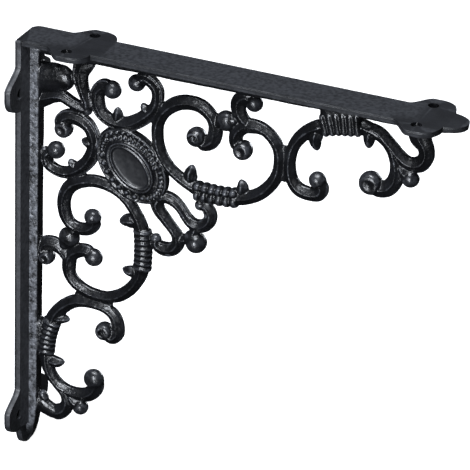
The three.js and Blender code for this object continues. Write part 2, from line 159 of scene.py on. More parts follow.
@dataclass(frozen=True)
class Path:
    """A smooth line through given marks of the drawing, with a half width at each."""

    marks: tuple[Mark, ...]
    # a bar's rounded end: its length in half widths, and what is left of the section at its tip;
    # and the most half depth that a bar has for its half width
    END_LENGTH = 0.9
    END_SIZE = 0.35
    DEEPEST = 1.15

    def samples(self, steps: int = 14) -> list[Vector]:
        """The line as many close points.

        Args:
            steps: Points from one mark to the next.

        Returns:
            Vectors of (out, half width, down).
        """
        knots = [Vector((out, half, down)) for out, down, half in self.marks]
        knots = [2 * knots[0] - knots[1], *knots, 2 * knots[-1] - knots[-2]]
        points = [knots[1]]
        for before, start, end, after in zip(knots, knots[1:], knots[2:], knots[3:]):
            first, run, last = (math.sqrt(max((b - a).length, 1e-6)) for a, b in
                                ((before, start), (start, end), (end, after)))
            leave = (start - before) / first - (end - before) / (first + run) + (end - start) / run
            meet = (end - start) / run - (after - start) / (run + last) + (after - end) / last
            for step in range(1, steps + 1):
                points.append(self.between(start, end, leave * run, meet * run, step / steps))
        return points

    @staticmethod
    def between(start: Vector, end: Vector, leave: Vector, meet: Vector, share: float) -> Vector:
        """A point of the smooth piece between two marks.

        Args:
            start: The mark it leaves.
            end: The mark it meets.
            leave: How it leaves the first mark.
            meet: How it meets the second mark.
            share: How far along the piece, from 0 to 1.

        Returns:
            The point there.
        """
        square, cube = share * share, share ** 3
        return (
            start * (2 * cube - 3 * square + 1) + end * (3 * square - 2 * cube)
            + leave * (cube - 2 * square + share) + meet * (cube - square)
        )

    def stations(
        self, pitch: float, depth: float, swell: Callable[[float], float] | None = None,
    ) -> list[Station]:
        """Evenly spaced stations for a bar.

        Args:
            pitch: Distance between stations, in mm.
            depth: Half depth of the bar, which a thin bar doesn't reach.
            swell: Share of the full section at a share of the length, for turned ridges.

        Returns:
            The stations from end to end.
        """
        points = self.samples()
        runs = [0.0]
        for a, b in pairwise(points):
            runs.append(runs[-1] + math.hypot(b.x - a.x, b.z - a.z))
        count = max(6, math.ceil(runs[-1] / pitch))
        found, index = [], 0
        for number in range(count + 1):
            share = number / count
            while index < len(points) - 2 and runs[index + 1] < share * runs[-1]:
                index += 1
            a, b = points[index], points[index + 1]
            part = (share * runs[-1] - runs[index]) / max(runs[index + 1] - runs[index], 1e-9)
            here = a.lerp(b, part)
            heading = points[min(index + 2, len(points) - 1)] - points[max(index - 1, 0)]
            direction = Vector((heading.x, 0.0, -heading.z)).normalized()
            full = swell(share) if swell else 1.0
            broad = 0.5 + 0.5 * full
            left = min(share, 1 - share) * runs[-1] / (self.END_LENGTH * here.y)
            if not swell and left < 1:
                full = broad = self.END_SIZE + (1 - self.END_SIZE) * math.sqrt(left * (2 - left))
            deep = min(depth, self.DEEPEST * here.y) * full
            found.append(Station(Vector((here.x, 0.0, -here.z)), direction, here.y * broad, deep))
        return found


def draw_on(mesh: BMesh, ring: Sequence[BMVert], places: Sequence[Matrix]) -> None:
    """Draws a section from place to place and closes both ends.

    Args:
        mesh: The mesh that holds the section's points.
        ring: The points in order, about the origin.
        places: Where the section goes, in order.
    """
    edges = [mesh.edges.new(pair) for pair in pairwise([*ring, ring[0]])]
    bmesh.ops.transform(mesh, matrix=places[0], verts=ring)
    for before, after in pairwise(places):
        made = bmesh.ops.extrude_edge_only(mesh, edges=edges)["geom"]
        verts = [part for part in made if isinstance(part, BMVert)]
        fresh = set(verts)
        edges = [part for part in made if isinstance(part, BMEdge) and fresh.issuperset(part.verts)]
        bmesh.ops.transform(mesh, matrix=after @ before.inverted(), verts=verts)
    bmesh.ops.holes_fill(mesh, edges=[edge for edge in mesh.edges if edge.is_boundary], sides=0)
    bmesh.ops.recalc_face_normals(mesh, faces=mesh.faces)


def in_order(mesh: BMesh) -> BMesh:
    """The same form with its faces in an order that doesn't change from run to run.

    Some of Blender's operators order what they make by its place in memory.

    Args:
        mesh: The mesh, which is freed.

    Returns:
        A new mesh, which the caller frees.
    """
    made = bmesh.new()
    fresh = {vert: made.verts.new(vert.co) for vert in mesh.verts}
    made.verts.index_update()
    made.verts.ensure_lookup_table()
    for corners in sorted([fresh[vert].index for vert in face.verts] for face in mesh.faces):
        made.faces.new([made.verts[number] for number in corners])
    mesh.free()
    return made


def thicken(mesh: BMesh, way: tuple[float, float, float]) -> None:
    """Extrudes a flat face into a slab.

    Args:
        mesh: The mesh that holds only that face, changed in place.
        way: How far and which way the far side lies.
    """
    made = bmesh.ops.extrude_face_region(mesh, geom=list(mesh.faces))["geom"]
    bmesh.ops.translate(mesh, vec=way, verts=[part for part in made if isinstance(part, BMVert)])
    bmesh.ops.recalc_face_normals(mesh, faces=mesh.faces)


def sweep(stations: Sequence[Station], section: Sequence[Spot]) -> BMesh:
    """A closed bar: a section extruded from station to station.

    Args:
        stations: Where the section goes, in order.
        section: The section's closed outline, in shares of half width and half depth.

    Returns:
        A new mesh, which the caller frees.
    """
    mesh = bmesh.new()
    ring = [mesh.verts.new((across, depth, 0.0)) for across, depth in section]
    draw_on(mesh, ring, [station.matrix() for station in stations])
    return mesh


def turned_oval(
    long: float, short: float, profile: Sequence[Spot], lead: float = 1.0, steps: int = 96,
) -> BMesh:
    """An oval form on the Y axis whose rings keep their distance from its edge.

    Args:
        long: Half its length along X.
        short: Half its width along Z.
        profile: Points as (distance in from the edge, depth), from the edge to the middle.
        lead: How far a ring keeps from the edge along X, as a share of its distance along Z.
        steps: Steps round the axis.

    Returns:
        A new mesh, which the caller frees.
    """
    mesh = turn([(short - inward, depth) for inward, depth in profile], steps)
    for vert in mesh.verts:
        radius = math.hypot(vert.co.x, vert.co.z)
        if radius > 1e-3:
            reach = long - lead * (short - radius) if radius > 0.4 * short else radius * (long / short)
            vert.co.x *= reach / radius
    return mesh


def turn(profile: Sequence[Spot], steps: int) -> BMesh:
    """A turned form on the Y axis, the same on the front and the back.

    Args:
        profile: Half of its profile as (radius, depth) from the rim to the middle.
        steps: Steps round the axis.

    Returns:
        A new mesh, which the caller frees.
    """
    mesh = bmesh.new()
    line = [(r, -d) for r, d in reversed(profile)] + [(r, d) for r, d in profile]
    verts = [mesh.verts.new((radius, depth, 0.0)) for radius, depth in line]
    edges = [mesh.edges.new(pair) for pair in pairwise(verts)]
    bmesh.ops.spin(
        mesh, geom=[*verts, *edges], cent=(0, 0, 0), axis=(0, 1, 0), dvec=(0, 0, 0),
        angle=2 * math.pi, steps=steps, use_merge=True, use_duplicate=False,
    )
    bmesh.ops.remove_doubles(mesh, verts=mesh.verts, dist=1e-4)
    bmesh.ops.recalc_face_normals(mesh, faces=mesh.faces)
    return mesh


def pour(target: BMesh, part: BMesh, place: Matrix | None = None) -> None:
    """Moves a part into a larger mesh and frees it.

    Args:
        target: The mesh that takes it.
        part: The mesh that goes in.
        place: Where it goes, if it isn't in place yet.
    """
    if place is not None:
        bmesh.ops.transform(part, matrix=place, verts=part.verts)
        if place.determinant() < 0:
            bmesh.ops.reverse_faces(part, faces=part.faces)
    held = bpy.data.meshes.new("pouring")
    part.to_mesh(held)
    target.from_mesh(held)
    part.free()
    bpy.data.meshes.remove(held)


@dataclass(frozen=True)
class Bar:
    """A cast bar of the scrollwork."""

    marks: tuple[Mark, ...]
    section: Section = Section.RIDGED
    depth: float = 3.3
    pitch: float = 0.8

    def build(self) -> BMesh:
        """The bar as a mesh in millimetres."""
        return sweep(Path(self.marks).stations(self.pitch, self.depth), self.section.outline())


@dataclass(frozen=True)
class Ball:
    """A ball at the end of a scroll, a little flattened from front to back."""

    out: float
    down: float
    radius: float
    curl: Curl = Curl.PLAIN
    depth: float = 4.3
    # a spiral's steps, and where it starts and how far it winds, in degrees
    SPIRAL_STEPS = 21
    SPIRAL_START = 200
    SPIRAL_TURN = 420

    def build(self) -> BMesh:
        """The ball.

        Returns:
            A new mesh in millimetres.
        """
        middle = Matrix.Translation((self.out, 0.0, -self.down))
        half = min(self.radius, self.depth)
        mesh = bmesh.new()
        if self.curl is Curl.PLAIN:
            bmesh.ops.create_uvsphere(mesh, u_segments=28, v_segments=16, radius=self.radius)
            bmesh.ops.scale(mesh, vec=(1.0, half / self.radius, 1.0), verts=mesh.verts)
        else:
            floor = 0.8 if self.curl is Curl.DIMPLED else 0.56
            profile = (
                (1.0, 0.0), (0.96, 0.4), (0.86, 0.7), (0.7, 0.91), (0.54, 0.97), (0.4, 0.95),
                (0.24, floor + 0.07), (0.0, floor),
            )
            pour(mesh, turn([(r * self.radius, d * half) for r, d in profile], 28))
        if self.curl is Curl.SPIRAL:
            for side in (-1, 1):
                pour(mesh, self.spiral(side * half))
        bmesh.ops.transform(mesh, matrix=middle, verts=mesh.verts)
        return mesh

    def spiral(self, face: float) -> BMesh:
        """The raised line that winds in from the rim to the eye.

        Args:
            face: Height of the ball's face, negative at the front.

        Returns:
            A new mesh about the ball's middle.
        """
        stations = []
        for step in range(self.SPIRAL_STEPS + 1):
            share = step / self.SPIRAL_STEPS
            angle = math.radians(self.SPIRAL_START + self.SPIRAL_TURN * share)
            reach = self.radius * (0.6 - 0.52 * share)
            way = Vector((-math.sin(angle), 0.0, -math.cos(angle)))
            height = face * (0.92 - 0.16 * share)
            middle = Vector((math.cos(angle) * reach, height, -math.sin(angle) * reach))
            thick = self.radius * (0.17 - 0.03 * share)
            stations.append(Station(middle, way, thick, thick * 1.2))
        return sweep(stations, Section.ROUND.outline())


@dataclass(frozen=True)
class Collar:
    """A stretch of turned ridges round a bar, where a scroll's two halves meet."""

    start: Spot
    through: Spot
    end: Spot
    ridges: int
    half: float
    groove: float
    section: Section
    depth: float = 4.3
    # distance between stations, which gives each ridge a round crest
    PITCH = 0.42

    def build(self) -> BMesh:
        """The collar.

        Returns:
            A new mesh in millimetres.
        """
        def swell(share: float) -> float:
            """Share of the full section: rounded crests with sharp grooves between them."""
            return self.groove + (1 - self.groove) * abs(math.sin(share * self.ridges * math.pi)) ** 0.7

        marks = tuple((out, down, self.half) for out, down in (self.start, self.through, self.end))
        return sweep(Path(marks).stations(self.PITCH, self.depth, swell), self.section.outline())


@dataclass(frozen=True)
class LeafSpike:
    """A small pointed leaf with a rib down its middle."""

    root: Spot
    middle: Spot
    tip: Spot
    half: float

    def build(self) -> BMesh:
        """The leaf.

        Returns:
            A new mesh in millimetres.
        """
        belly = tuple(r + (m - r) * 0.55 for r, m in zip(self.root, self.middle))
        short = tuple(m + (t - m) * 0.55 for m, t in zip(self.middle, self.tip))
        marks = (
            (*self.root, self.half), (*belly, self.half * 0.98), (*self.middle, self.half * 0.88),
            (*short, self.half * 0.62), (*self.tip, self.half * 0.26),
        )
        return Bar(marks).build()


@dataclass(frozen=True)
class Scrollwork:
    """The carving of one half, drawn along its own plate."""

    bars: tuple[Bar, ...]
    balls: tuple[Ball, ...]
    collars: tuple[Collar, ...]
    spikes: tuple[LeafSpike, ...]

    def build(self) -> BMesh:
        """All the forms of this half as closed shells that overlap.

        Returns:
            A new mesh in millimetres.
        """
        mesh = bmesh.new()
        for form in (*self.bars, *self.balls, *self.collars, *self.spikes):
            pour(mesh, form.build())
        return mesh


# First number along the arm, second down from the shelf face, third the half width
ARM_WORK = Scrollwork(
    bars=(
        # corner loop, from its ball beside the corner leaf round to the small ball under the arm
        Bar(((51.2, 22.6, 4.6), (46.4, 22.2, 4.3), (43.2, 25.6, 3.8), (42.9, 31, 3.8), (45, 36.6, 3.6),
             (49.4, 40, 3.4), (55.2, 41.4, 3.7), (61, 40.8, 4), (66.6, 37.8, 4), (71.8, 33.4, 3.9),
             (76.1, 28.4, 3.4), (77.8, 22.2, 3.1), (76.8, 16.2, 3.3), (71.6, 12.4, 3.4), (65.8, 13.6, 4.2)),
            Section.BORDERED),
        # first C scroll, from its volute over the top and down to the collar
        Bar(((101.5, 42.8, 3.4), (106.2, 42.6, 3.7), (110, 39.6, 3.9), (111.4, 34.5, 3.8), (110.9, 29.5, 3.6),
             (108.4, 25.2, 3.6), (103.4, 21.6, 3.8), (97, 20.6, 3.9), (90.4, 22.1, 3.9), (84.8, 25.8, 3.7),
             (80.7, 31, 3.3), (78.4, 37, 3.1), (78.2, 43.5, 3.1), (79.2, 49.7, 3.2), (82, 55.9, 3.2),
             (86.2, 61.2, 3.1), (91.6, 65.2, 3.1), (98, 68.5, 3.3), (104, 70.7, 4))),
        # its other half, from the collar up and over to the volute under the arm's stem
        Bar(((122, 70.3, 4), (128, 69.4, 3.7), (133.6, 67.3, 3.5), (139.6, 63, 3.4), (144.4, 57.3, 3.4),
             (147.4, 50.8, 3.2), (148.3, 43.6, 3.1), (147.4, 36.8, 3.1), (144, 31, 3.2), (138.4, 27.1, 3.3),
             (132.4, 26.4, 3.9), (127.2, 28, 3.8), (123.7, 32.2, 3.7), (123, 37.2, 3.5), (125, 41.4, 3.5))),
        # stem from that scroll up to the arm, curling over to the small ball
        Bar(((130, 26, 3), (126.4, 23, 3.4), (124, 18.6, 3.9), (124.4, 13.4, 4), (128.4, 10.6, 3.8),
             (132.2, 12.4, 3.8))),
        # second C scroll, from its curled tip up to its collar
        Bar(((169.8, 49.6, 3.9), (172.4, 53.6, 3.7), (170.6, 57.3, 3.8), (165, 58.3, 3.7), (159.2, 56.6, 3.7),
             (155.5, 52, 3.3), (154.1, 46, 3), (154.2, 39.6, 2.9), (155.6, 33.2, 3.1), (159.3, 26.8, 3.5),
             (164.8, 21.5, 3.6), (172, 17.4, 4))),
        # its other half, from the collar round to the big end ball
        Bar(((190, 12.9, 4.4), (198.4, 14.6, 3.5), (205.3, 18, 3.2), (209.9, 23.4, 3.1), (212.2, 29.8, 3.2),
             (212.9, 36, 3.7), (211.8, 41.2, 4.1), (208.4, 45.4, 4.3),
             (203.8, 46.9, 4.3), (199.6, 46, 4))),
        # strand from that scroll that hangs on the end of the arm
        Bar(((196.5, 12.6, 2.4), (202.6, 15, 3), (208.6, 20.3, 3.3), (213.6, 25.3, 3.4), (219.4, 28.8, 3.7),
             (225.4, 27.7, 4.2), (228.3, 22.8, 4), (227.6, 17.8, 4.2), (224.6, 13, 5.8), (223.8, 6, 5.8))),
        # stalk of the end bud
        Bar(((214, 31, 3.2), (218, 35, 3.6), (220.6, 38, 3.2))),
        # strap from the arm to the tip of the corner leaf
        Bar(((37, 5.4, 6.4), (34.6, 11.6, 5.4), (32.9, 17, 4.4), (33.2, 22, 3.7), (34.9, 27.2, 3.2),
             (37, 32.4, 3.1), (37.4, 37.2, 2.8)), Section.BORDERED),
        # ribbon from the first collar down, up beside the slot and over the slot's top
        Bar(((104.4, 78.8, 2.8), (107.8, 79.2, 3.2), (110.2, 82.8, 3.4), (109.5, 87.6, 3.5),
             (105.2, 91.4, 3.5), (100.4, 91.3, 3.3), (96.5, 88.1, 2.9), (92.5, 83, 2.9), (87.9, 79.6, 3.3),
             (83.2, 79, 3.3), (80.2, 81.2, 3.2)), Section.BORDERED),
        # fillet where the two C scrolls touch
        Bar(((151.1, 33.6, 2.1), (151, 38, 1.5), (151.2, 50, 1.5), (151.2, 54.6, 2.2)), Section.ROUND, 1.5),
        # block between the second collar and the plate
        Bar(((169.4, 8, 5.6), (181, 7.4, 5.4), (193.4, 6.6, 4.8)), Section.FLAT, 3.7),
        # neck through the ball that ties the first C scroll to the stem
        Bar(((110.4, 29.6, 3), (124.2, 24.4, 3)), Section.ROUND, 3.0),
    ),
    balls=(
        Ball(51.4, 22.7, 5.2), Ball(65.5, 15.8, 4.8), Ball(100.7, 39.6, 5.5, Curl.SPIRAL),
        Ball(127.3, 41.4, 5.4, Curl.DIMPLED), Ball(117.3, 26.7, 5.8), Ball(132.6, 13.2, 4.9),
        Ball(169.9, 49.4, 4.8), Ball(199.2, 44.4, 6.5, Curl.DIMPLED), Ball(220.6, 37.2, 4.8),
        Ball(104.2, 79, 3.2),
    ),
    collars=(
        Collar((100.6, 70.7), (113, 71.1), (125.6, 70.1), 6, 5.4, 0.7, Section.PARTED, 4.4),
        Collar((171, 16.8), (181, 14), (192.6, 12.2), 6, 6.5, 0.7, Section.FLAT, 4.4),
    ),
    spikes=(
        LeafSpike((98, 66.6), (97.9, 61.4), (99, 56.3), 3.7),
        LeafSpike((127.6, 67), (127.9, 62.8), (126.8, 58.6), 3.4),
        LeafSpike((168, 21), (167.4, 27), (168.9, 32.6), 3.7),
        LeafSpike((197.2, 15), (197, 20.4), (197, 25.2), 3.3),
        LeafSpike((55, 40), (55, 35.6), (54.8, 32), 2.9),
        LeafSpike((72.4, 31.6), (70.2, 28.8), (68.9, 26.6), 2.5),
    ),
)

# First number down the leg, second out from the wall face, third the half width
LEG_WORK = Scrollwork(
    bars=(
        # corner loop
        Bar(((51.4, 23.2, 4.6), (46.8, 22.8, 4.4), (43.8, 26.4, 4), (43.8, 32, 4.1), (46.7, 37.6, 3.8),
             (51.6, 40.7, 3.6), (57.2, 41.6, 3.7), (63.2, 40.3, 3.8), (69, 37.1, 3.8), (73.6, 32.4, 3.6),
             (76.7, 27, 3.3), (77.3, 20.8, 3), (74.8, 15, 3.1), (70.4, 13.2, 3.4), (65.8, 15.6, 4.8)),
            Section.BORDERED),
        # neck through the ball that ties the first C scroll to the stem
        Bar(((108.8, 31, 3), (123.2, 23.6, 3)), Section.ROUND),
        # first C scroll
        Bar(((101.6, 42.8, 3), (105.3, 42.1, 3.4), (108.6, 38.2, 3.5), (109.4, 32.8, 3.5), (107.5, 28, 3.5),
             (103.2, 25, 3.6), (97, 23.7, 3.6), (90.4, 24.6, 3.7), (84.9, 27.8, 3.8), (81.3, 32.8, 3.6),
             (79.2, 39, 3.4), (78.7, 45.2, 3.4), (79.8, 51.5, 3.2), (82.5, 57.5, 3.1), (86.9, 62.7, 3.1),
             (92.7, 66.9, 3.2), (98.6, 69.8, 3.6), (104, 71, 4))),
        # its other half, from the collar round to the volute under the leg's stem
        Bar(((123, 71.4, 4), (128.8, 70.4, 3.5), (134.3, 67.8, 3.4), (140.2, 63.6, 3.4), (144.9, 57.9, 3.4),
             (147.5, 51.5, 3.2), (147.9, 45, 3.1), (146.7, 38, 3.2), (143.5, 31.6, 3.4), (138.4, 27.7, 3.5),
             (132.4, 27.2, 3.9), (127.1, 28.5, 3.7), (123.3, 32.8, 3.8), (122, 37.4, 3.6),
             (123.4, 41.6, 3.5))),
        # stem from that scroll up to the leg, curling over to the small ball
        Bar(((130, 26.2, 3), (125.6, 23.6, 3.5), (122.5, 19, 4.2), (123, 13.6, 4), (127, 10.8, 3.7),
             (131, 12.6, 3.2))),
        # second C scroll and its other half
        Bar(((169.2, 50, 3.8), (172.4, 53.6, 3.7), (169, 57.3, 3.5), (163, 57.3, 3.5), (157.5, 54.5, 3.4),
             (154.7, 49.7, 3.1), (153.8, 44, 2.9), (153.7, 38, 3.1), (154.9, 31.3, 3.6), (159.1, 25.1, 3.8),
             (164.7, 20.2, 4), (172, 16.8, 4.4))),
        Bar(((190, 13.8, 4.2), (198.6, 14.6, 3.4), (205.4, 17.4, 3.3), (210.5, 22.4, 3.3), (213, 28.4, 3.3),
             (213.4, 34.8, 3.7), (212.1, 39.6, 4), (208.8, 43.3, 4.2), (204.4, 45, 4.2), (200.6, 44.6, 4))),
        # strand from that scroll, its round last stretch into the rib, and the nub on it
        Bar(((197.4, 13.4, 3), (203, 15.6, 3), (209.6, 20.7, 3.1), (214.5, 25.2, 3.1), (219.9, 27.1, 3.4),
             (225.3, 25.3, 4), (228.2, 21, 4.5), (228.1, 17.4, 4.4))),
        Bar(((227.6, 22.4, 3.8), (228.2, 18.6, 4.6), (227.1, 14.8, 5), (225, 10.8, 5.3), (223.8, 6, 5)),
            Section.ROUND),
        Bar(((222.4, 14.4, 2), (219.6, 12.2, 2.3), (216.8, 11.4, 1.8)), Section.ROUND, 2.6),
        # stalk of the end bud
        Bar(((215, 28, 3), (219, 32, 3.6), (221.2, 35.4, 3.2))),
        # strap to the tip of the corner leaf
        Bar(((37.8, 5.4, 6), (35.6, 11.6, 4.8), (33.5, 17, 3.8), (32.8, 22, 3.3), (34.8, 27, 3.1),
             (36.7, 32.4, 3), (37.1, 37.2, 2.8)), Section.BORDERED),
        # ribbon from the first collar beside the slot
        Bar(((105.2, 78.8, 2.8), (108.8, 80.2, 3.4), (110.1, 84.2, 3.8), (108.9, 88.9, 3.6), (104.5, 92, 3.5),
             (99.8, 91.2, 3.1), (95.5, 87.8, 2.9), (91.2, 83.9, 3.1), (87.1, 80.3, 3.4), (83.4, 79.2, 3.4),
             (80.6, 80.8, 3.2)), Section.BORDERED),
        # block behind the second collar, and the fillet where the C scrolls touch
        Bar(((170, 7.6, 5.2), (181, 7, 5), (191.4, 6.6, 4.6)), Section.FLAT, 3.6),
        Bar(((149.9, 31, 2.3), (150.6, 37, 1.6), (151.2, 49, 1.5), (152, 54.2, 2.2)), Section.ROUND, 1.5),
    ),
    balls=(
        Ball(51.4, 23.3, 5.1, Curl.DIMPLED), Ball(65.2, 18.8, 5.1), Ball(101, 41.1, 4.9),
        Ball(125.2, 42, 5.2), Ball(116.2, 27.2, 6.1), Ball(131.3, 13.8, 4.4, Curl.DIMPLED),
        Ball(169.2, 49.3, 5.2, Curl.SPIRAL), Ball(201.4, 43.3, 6.1), Ball(221.3, 35.2, 4.6),
        Ball(105, 78.8, 3),
    ),
    collars=(
        Collar((101, 70.8), (113, 71.6), (125.6, 71), 8, 5.5, 0.78, Section.ROUND),
        Collar((170, 17.6), (181, 14.6), (191.6, 13.4), 7, 5.5, 0.78, Section.ROUND),
    ),
    spikes=(
        LeafSpike((97.4, 67), (97.9, 61.8), (99.8, 57.2), 4),
        LeafSpike((128.3, 67.4), (128.4, 63), (127.6, 59.2), 3.1),
        LeafSpike((168.6, 20), (167.6, 24.6), (167.4, 28.2), 2.8),
        LeafSpike((196.2, 15.6), (196.1, 21), (195.2, 25.2), 3.3),
        LeafSpike((57, 40), (56.4, 36.6), (55.8, 33.8), 2.9),
        LeafSpike((73, 30), (70.8, 28), (68.6, 26.8), 2.5),
    ),
)


@dataclass(frozen=True)
class Medallion:
    """The oval in the middle: a dish in a double rim, a ring of beads, and a lipped shell."""

    middle: Spot = (64.3, 64.3)
    long: float = 23.4
    short: float = 17.8
    rim_long: float = 15.8
    rim_short: float = 11.4
    bead_front: float = 3.6
    # from angle, to angle, how many beads, half width along the ring, half width across it, place across it
    bead_runs: tuple[tuple[float, float, int, float, float, float], ...] = (
        (-146, -22, 8, 2.0, 2.0, 0.0), (-22, 58, 9, 1.25, 1.9, 0.3), (58, 136, 9, 1.15, 1.6, -1.5),
        (60, 138, 8, 1.3, 1.3, 1.7), (136, 182, 4, 1.6, 1.35, -1.4), (138, 184, 4, 1.6, 1.3, 1.5),
        (184, 214, 4, 1.5, 1.8, 0.0),
    )

    def place(self) -> Matrix:
        """Stands the oval on the diagonal, its long axis out and down."""
        out, down = self.middle
        return Matrix.Translation((out, 0.0, -down)) @ Matrix.Rotation(math.pi / 4, 4, "Y")

    def inside_dish(self, place: Vector) -> float:
        """How far inside the dish a place is.

        Args:
            place: A place on the casting, in mm from its corner.

        Returns:
            1 in the dish, falling to 0 across its edge.
        """
        near = self.place().inverted() @ place
        # the dish ends inside the rim's inner line
        reach = math.hypot(near.x / (self.rim_long - 2.6), near.z / (self.rim_short - 4.0))
        return min(1.0, max(0.0, (1.08 - reach) / 0.12))

    def build(self) -> BMesh:
        """The medallion and its tie to the corner leaf as closed shells that overlap.

        Returns:
            A new mesh in millimetres.
        """
        shell = (
            (0.0, 0.0), (0.0, 1.7), (0.3, 2.6), (0.9, 2.95), (1.5, 2.7), (2.1, 2.2), (5.2, 2.2), (6.2, 2.8),
            (self.short, 2.8),
        )
        rim = (
            (0.0, 2.0), (0.05, 3.7), (0.3, 4.6), (0.8, 4.9), (1.3, 4.7), (1.8, 4.2), (2.2, 4.3), (2.7, 4.85),
            (3.2, 5.0), (3.6, 4.6), (4.0, 3.9), (4.7, 3.65), (7.6, 3.42), (self.rim_short, 3.36),
        )
        mesh = bmesh.new()
        pour(mesh, turned_oval(self.long, self.short, shell), self.place())
        pour(mesh, turned_oval(self.rim_long, self.rim_short, rim, 0.66), self.place())
        for first, last, count, half, across, shift in self.bead_runs:
            for number in range(count):
                angle = math.radians(first + (last - first) * (number + 0.5) / count)
                pour(mesh, self.bead(angle, half, across, shift))
        pour(mesh, Bar(((45.8, 51.2, 1.8), (51.2, 45.8, 1.8))).build())
        return mesh

    def bead(self, angle: float, half: float, across: float, shift: float) -> BMesh:
        """One bead of the ring.

        Args:
            angle: Its place round the oval, from the long axis.
            half: Half its width along the ring.
            across: Half its width across the ring.
            shift: How far it sits outside the ring's middle.

        Returns:
            A new mesh in its place.
        """
        long, short = (self.long + self.rim_long) / 2 + shift, (self.short + self.rim_short) / 2 + shift
        along = math.atan2(short * math.cos(angle), -long * math.sin(angle))
        mesh = bmesh.new()
        bmesh.ops.create_icosphere(mesh, subdivisions=3, radius=1.0)
        bmesh.ops.scale(mesh, vec=(half, self.bead_front, across), verts=mesh.verts)
        bmesh.ops.rotate(mesh, cent=(0, 0, 0), matrix=Matrix.Rotation(-along, 3, "Y"), verts=mesh.verts)
        spot = (long * math.cos(angle), 0.0, short * math.sin(angle))
        bmesh.ops.translate(mesh, vec=spot, verts=mesh.verts)
        bmesh.ops.transform(mesh, matrix=self.place(), verts=mesh.verts)
        return mesh


@dataclass(frozen=True)
class MiddleForms:
    """What sits on the diagonal: the corner leaf's boss, tip and web, and the ball under the medallion."""

    boss: Ball = Ball(22, 21.9, 7.5, Curl.PLAIN, 4.2)
    tip: Ball = Ball(37, 37.8, 3)
    end_ball: Ball = Ball(102.4, 101.9, 5.9, Curl.PLAIN, 5.9)
    neck: Ball = Ball(99.6, 99.6, 4.2)
    web_from: Spot = (6.0, 15.4)
    web_to: Spot = (24.0, 34.0)
    web_depth: float = 3.6

    def build(self) -> BMesh:
        """These forms as closed shells that overlap.

        Returns:
            A new mesh in millimetres.
        """
        mesh = bmesh.new()
        for form in (self.boss, self.tip, self.end_ball, self.neck):
            pour(mesh, form.build())
        leaf = ((3, 24.4, 9.6), (13, 23.2, 8.8), (20, 22.2, 8), (28.6, 21.8, 5))
        pour(mesh, Bar(leaf, Section.ROUND, 4.5).build())
        for marks in (((102.4, 92.6, 2.6), (100.4, 98.6, 3)), ((92.6, 102.4, 2.6), (98.6, 100.4, 3))):
            pour(mesh, Bar(marks).build())
        (out_a, down_a), (out_b, down_b) = self.web_from, self.web_to
        web = bmesh.new()
        bmesh.ops.create_cube(web, size=1.0)
        size = Matrix.Diagonal((out_b - out_a, self.web_depth, down_b - down_a, 1.0))
        pour(mesh, web, Matrix.Translation(((out_a + out_b) / 2, 0.0, -(down_a + down_b) / 2)) @ size)
        return mesh


@dataclass(frozen=True)
class Ear:
    """A screw ear on one side of a plate."""

    middle: float
    span: float
    length: float = 26.0
    # shares of half its length: where the slow rise ends, and where the round end begins
    RISE_END = -0.16
    ROUND_START = 0.2

    def stand(self, along: float, base: float) -> float:
        """How far the ear stands out past the plate's own half width.

        Args:
            along: Place along the plate.
            base: The plate's half width there.

        Returns:
            The extra half width, in mm.
        """
        place = (along - self.middle) / (self.length / 2)
        full = max(0.0, self.span / 2 - base)
        if abs(place) >= 1:
            return 0.0
        if place < self.RISE_END:
            rise = (place + 1) / (self.RISE_END + 1)
            return full * rise * rise * (3 - 2 * rise)
        if place <= self.ROUND_START:
            return full
        return full * math.sqrt(1 - ((place - self.ROUND_START) / (1 - self.ROUND_START)) ** 2)


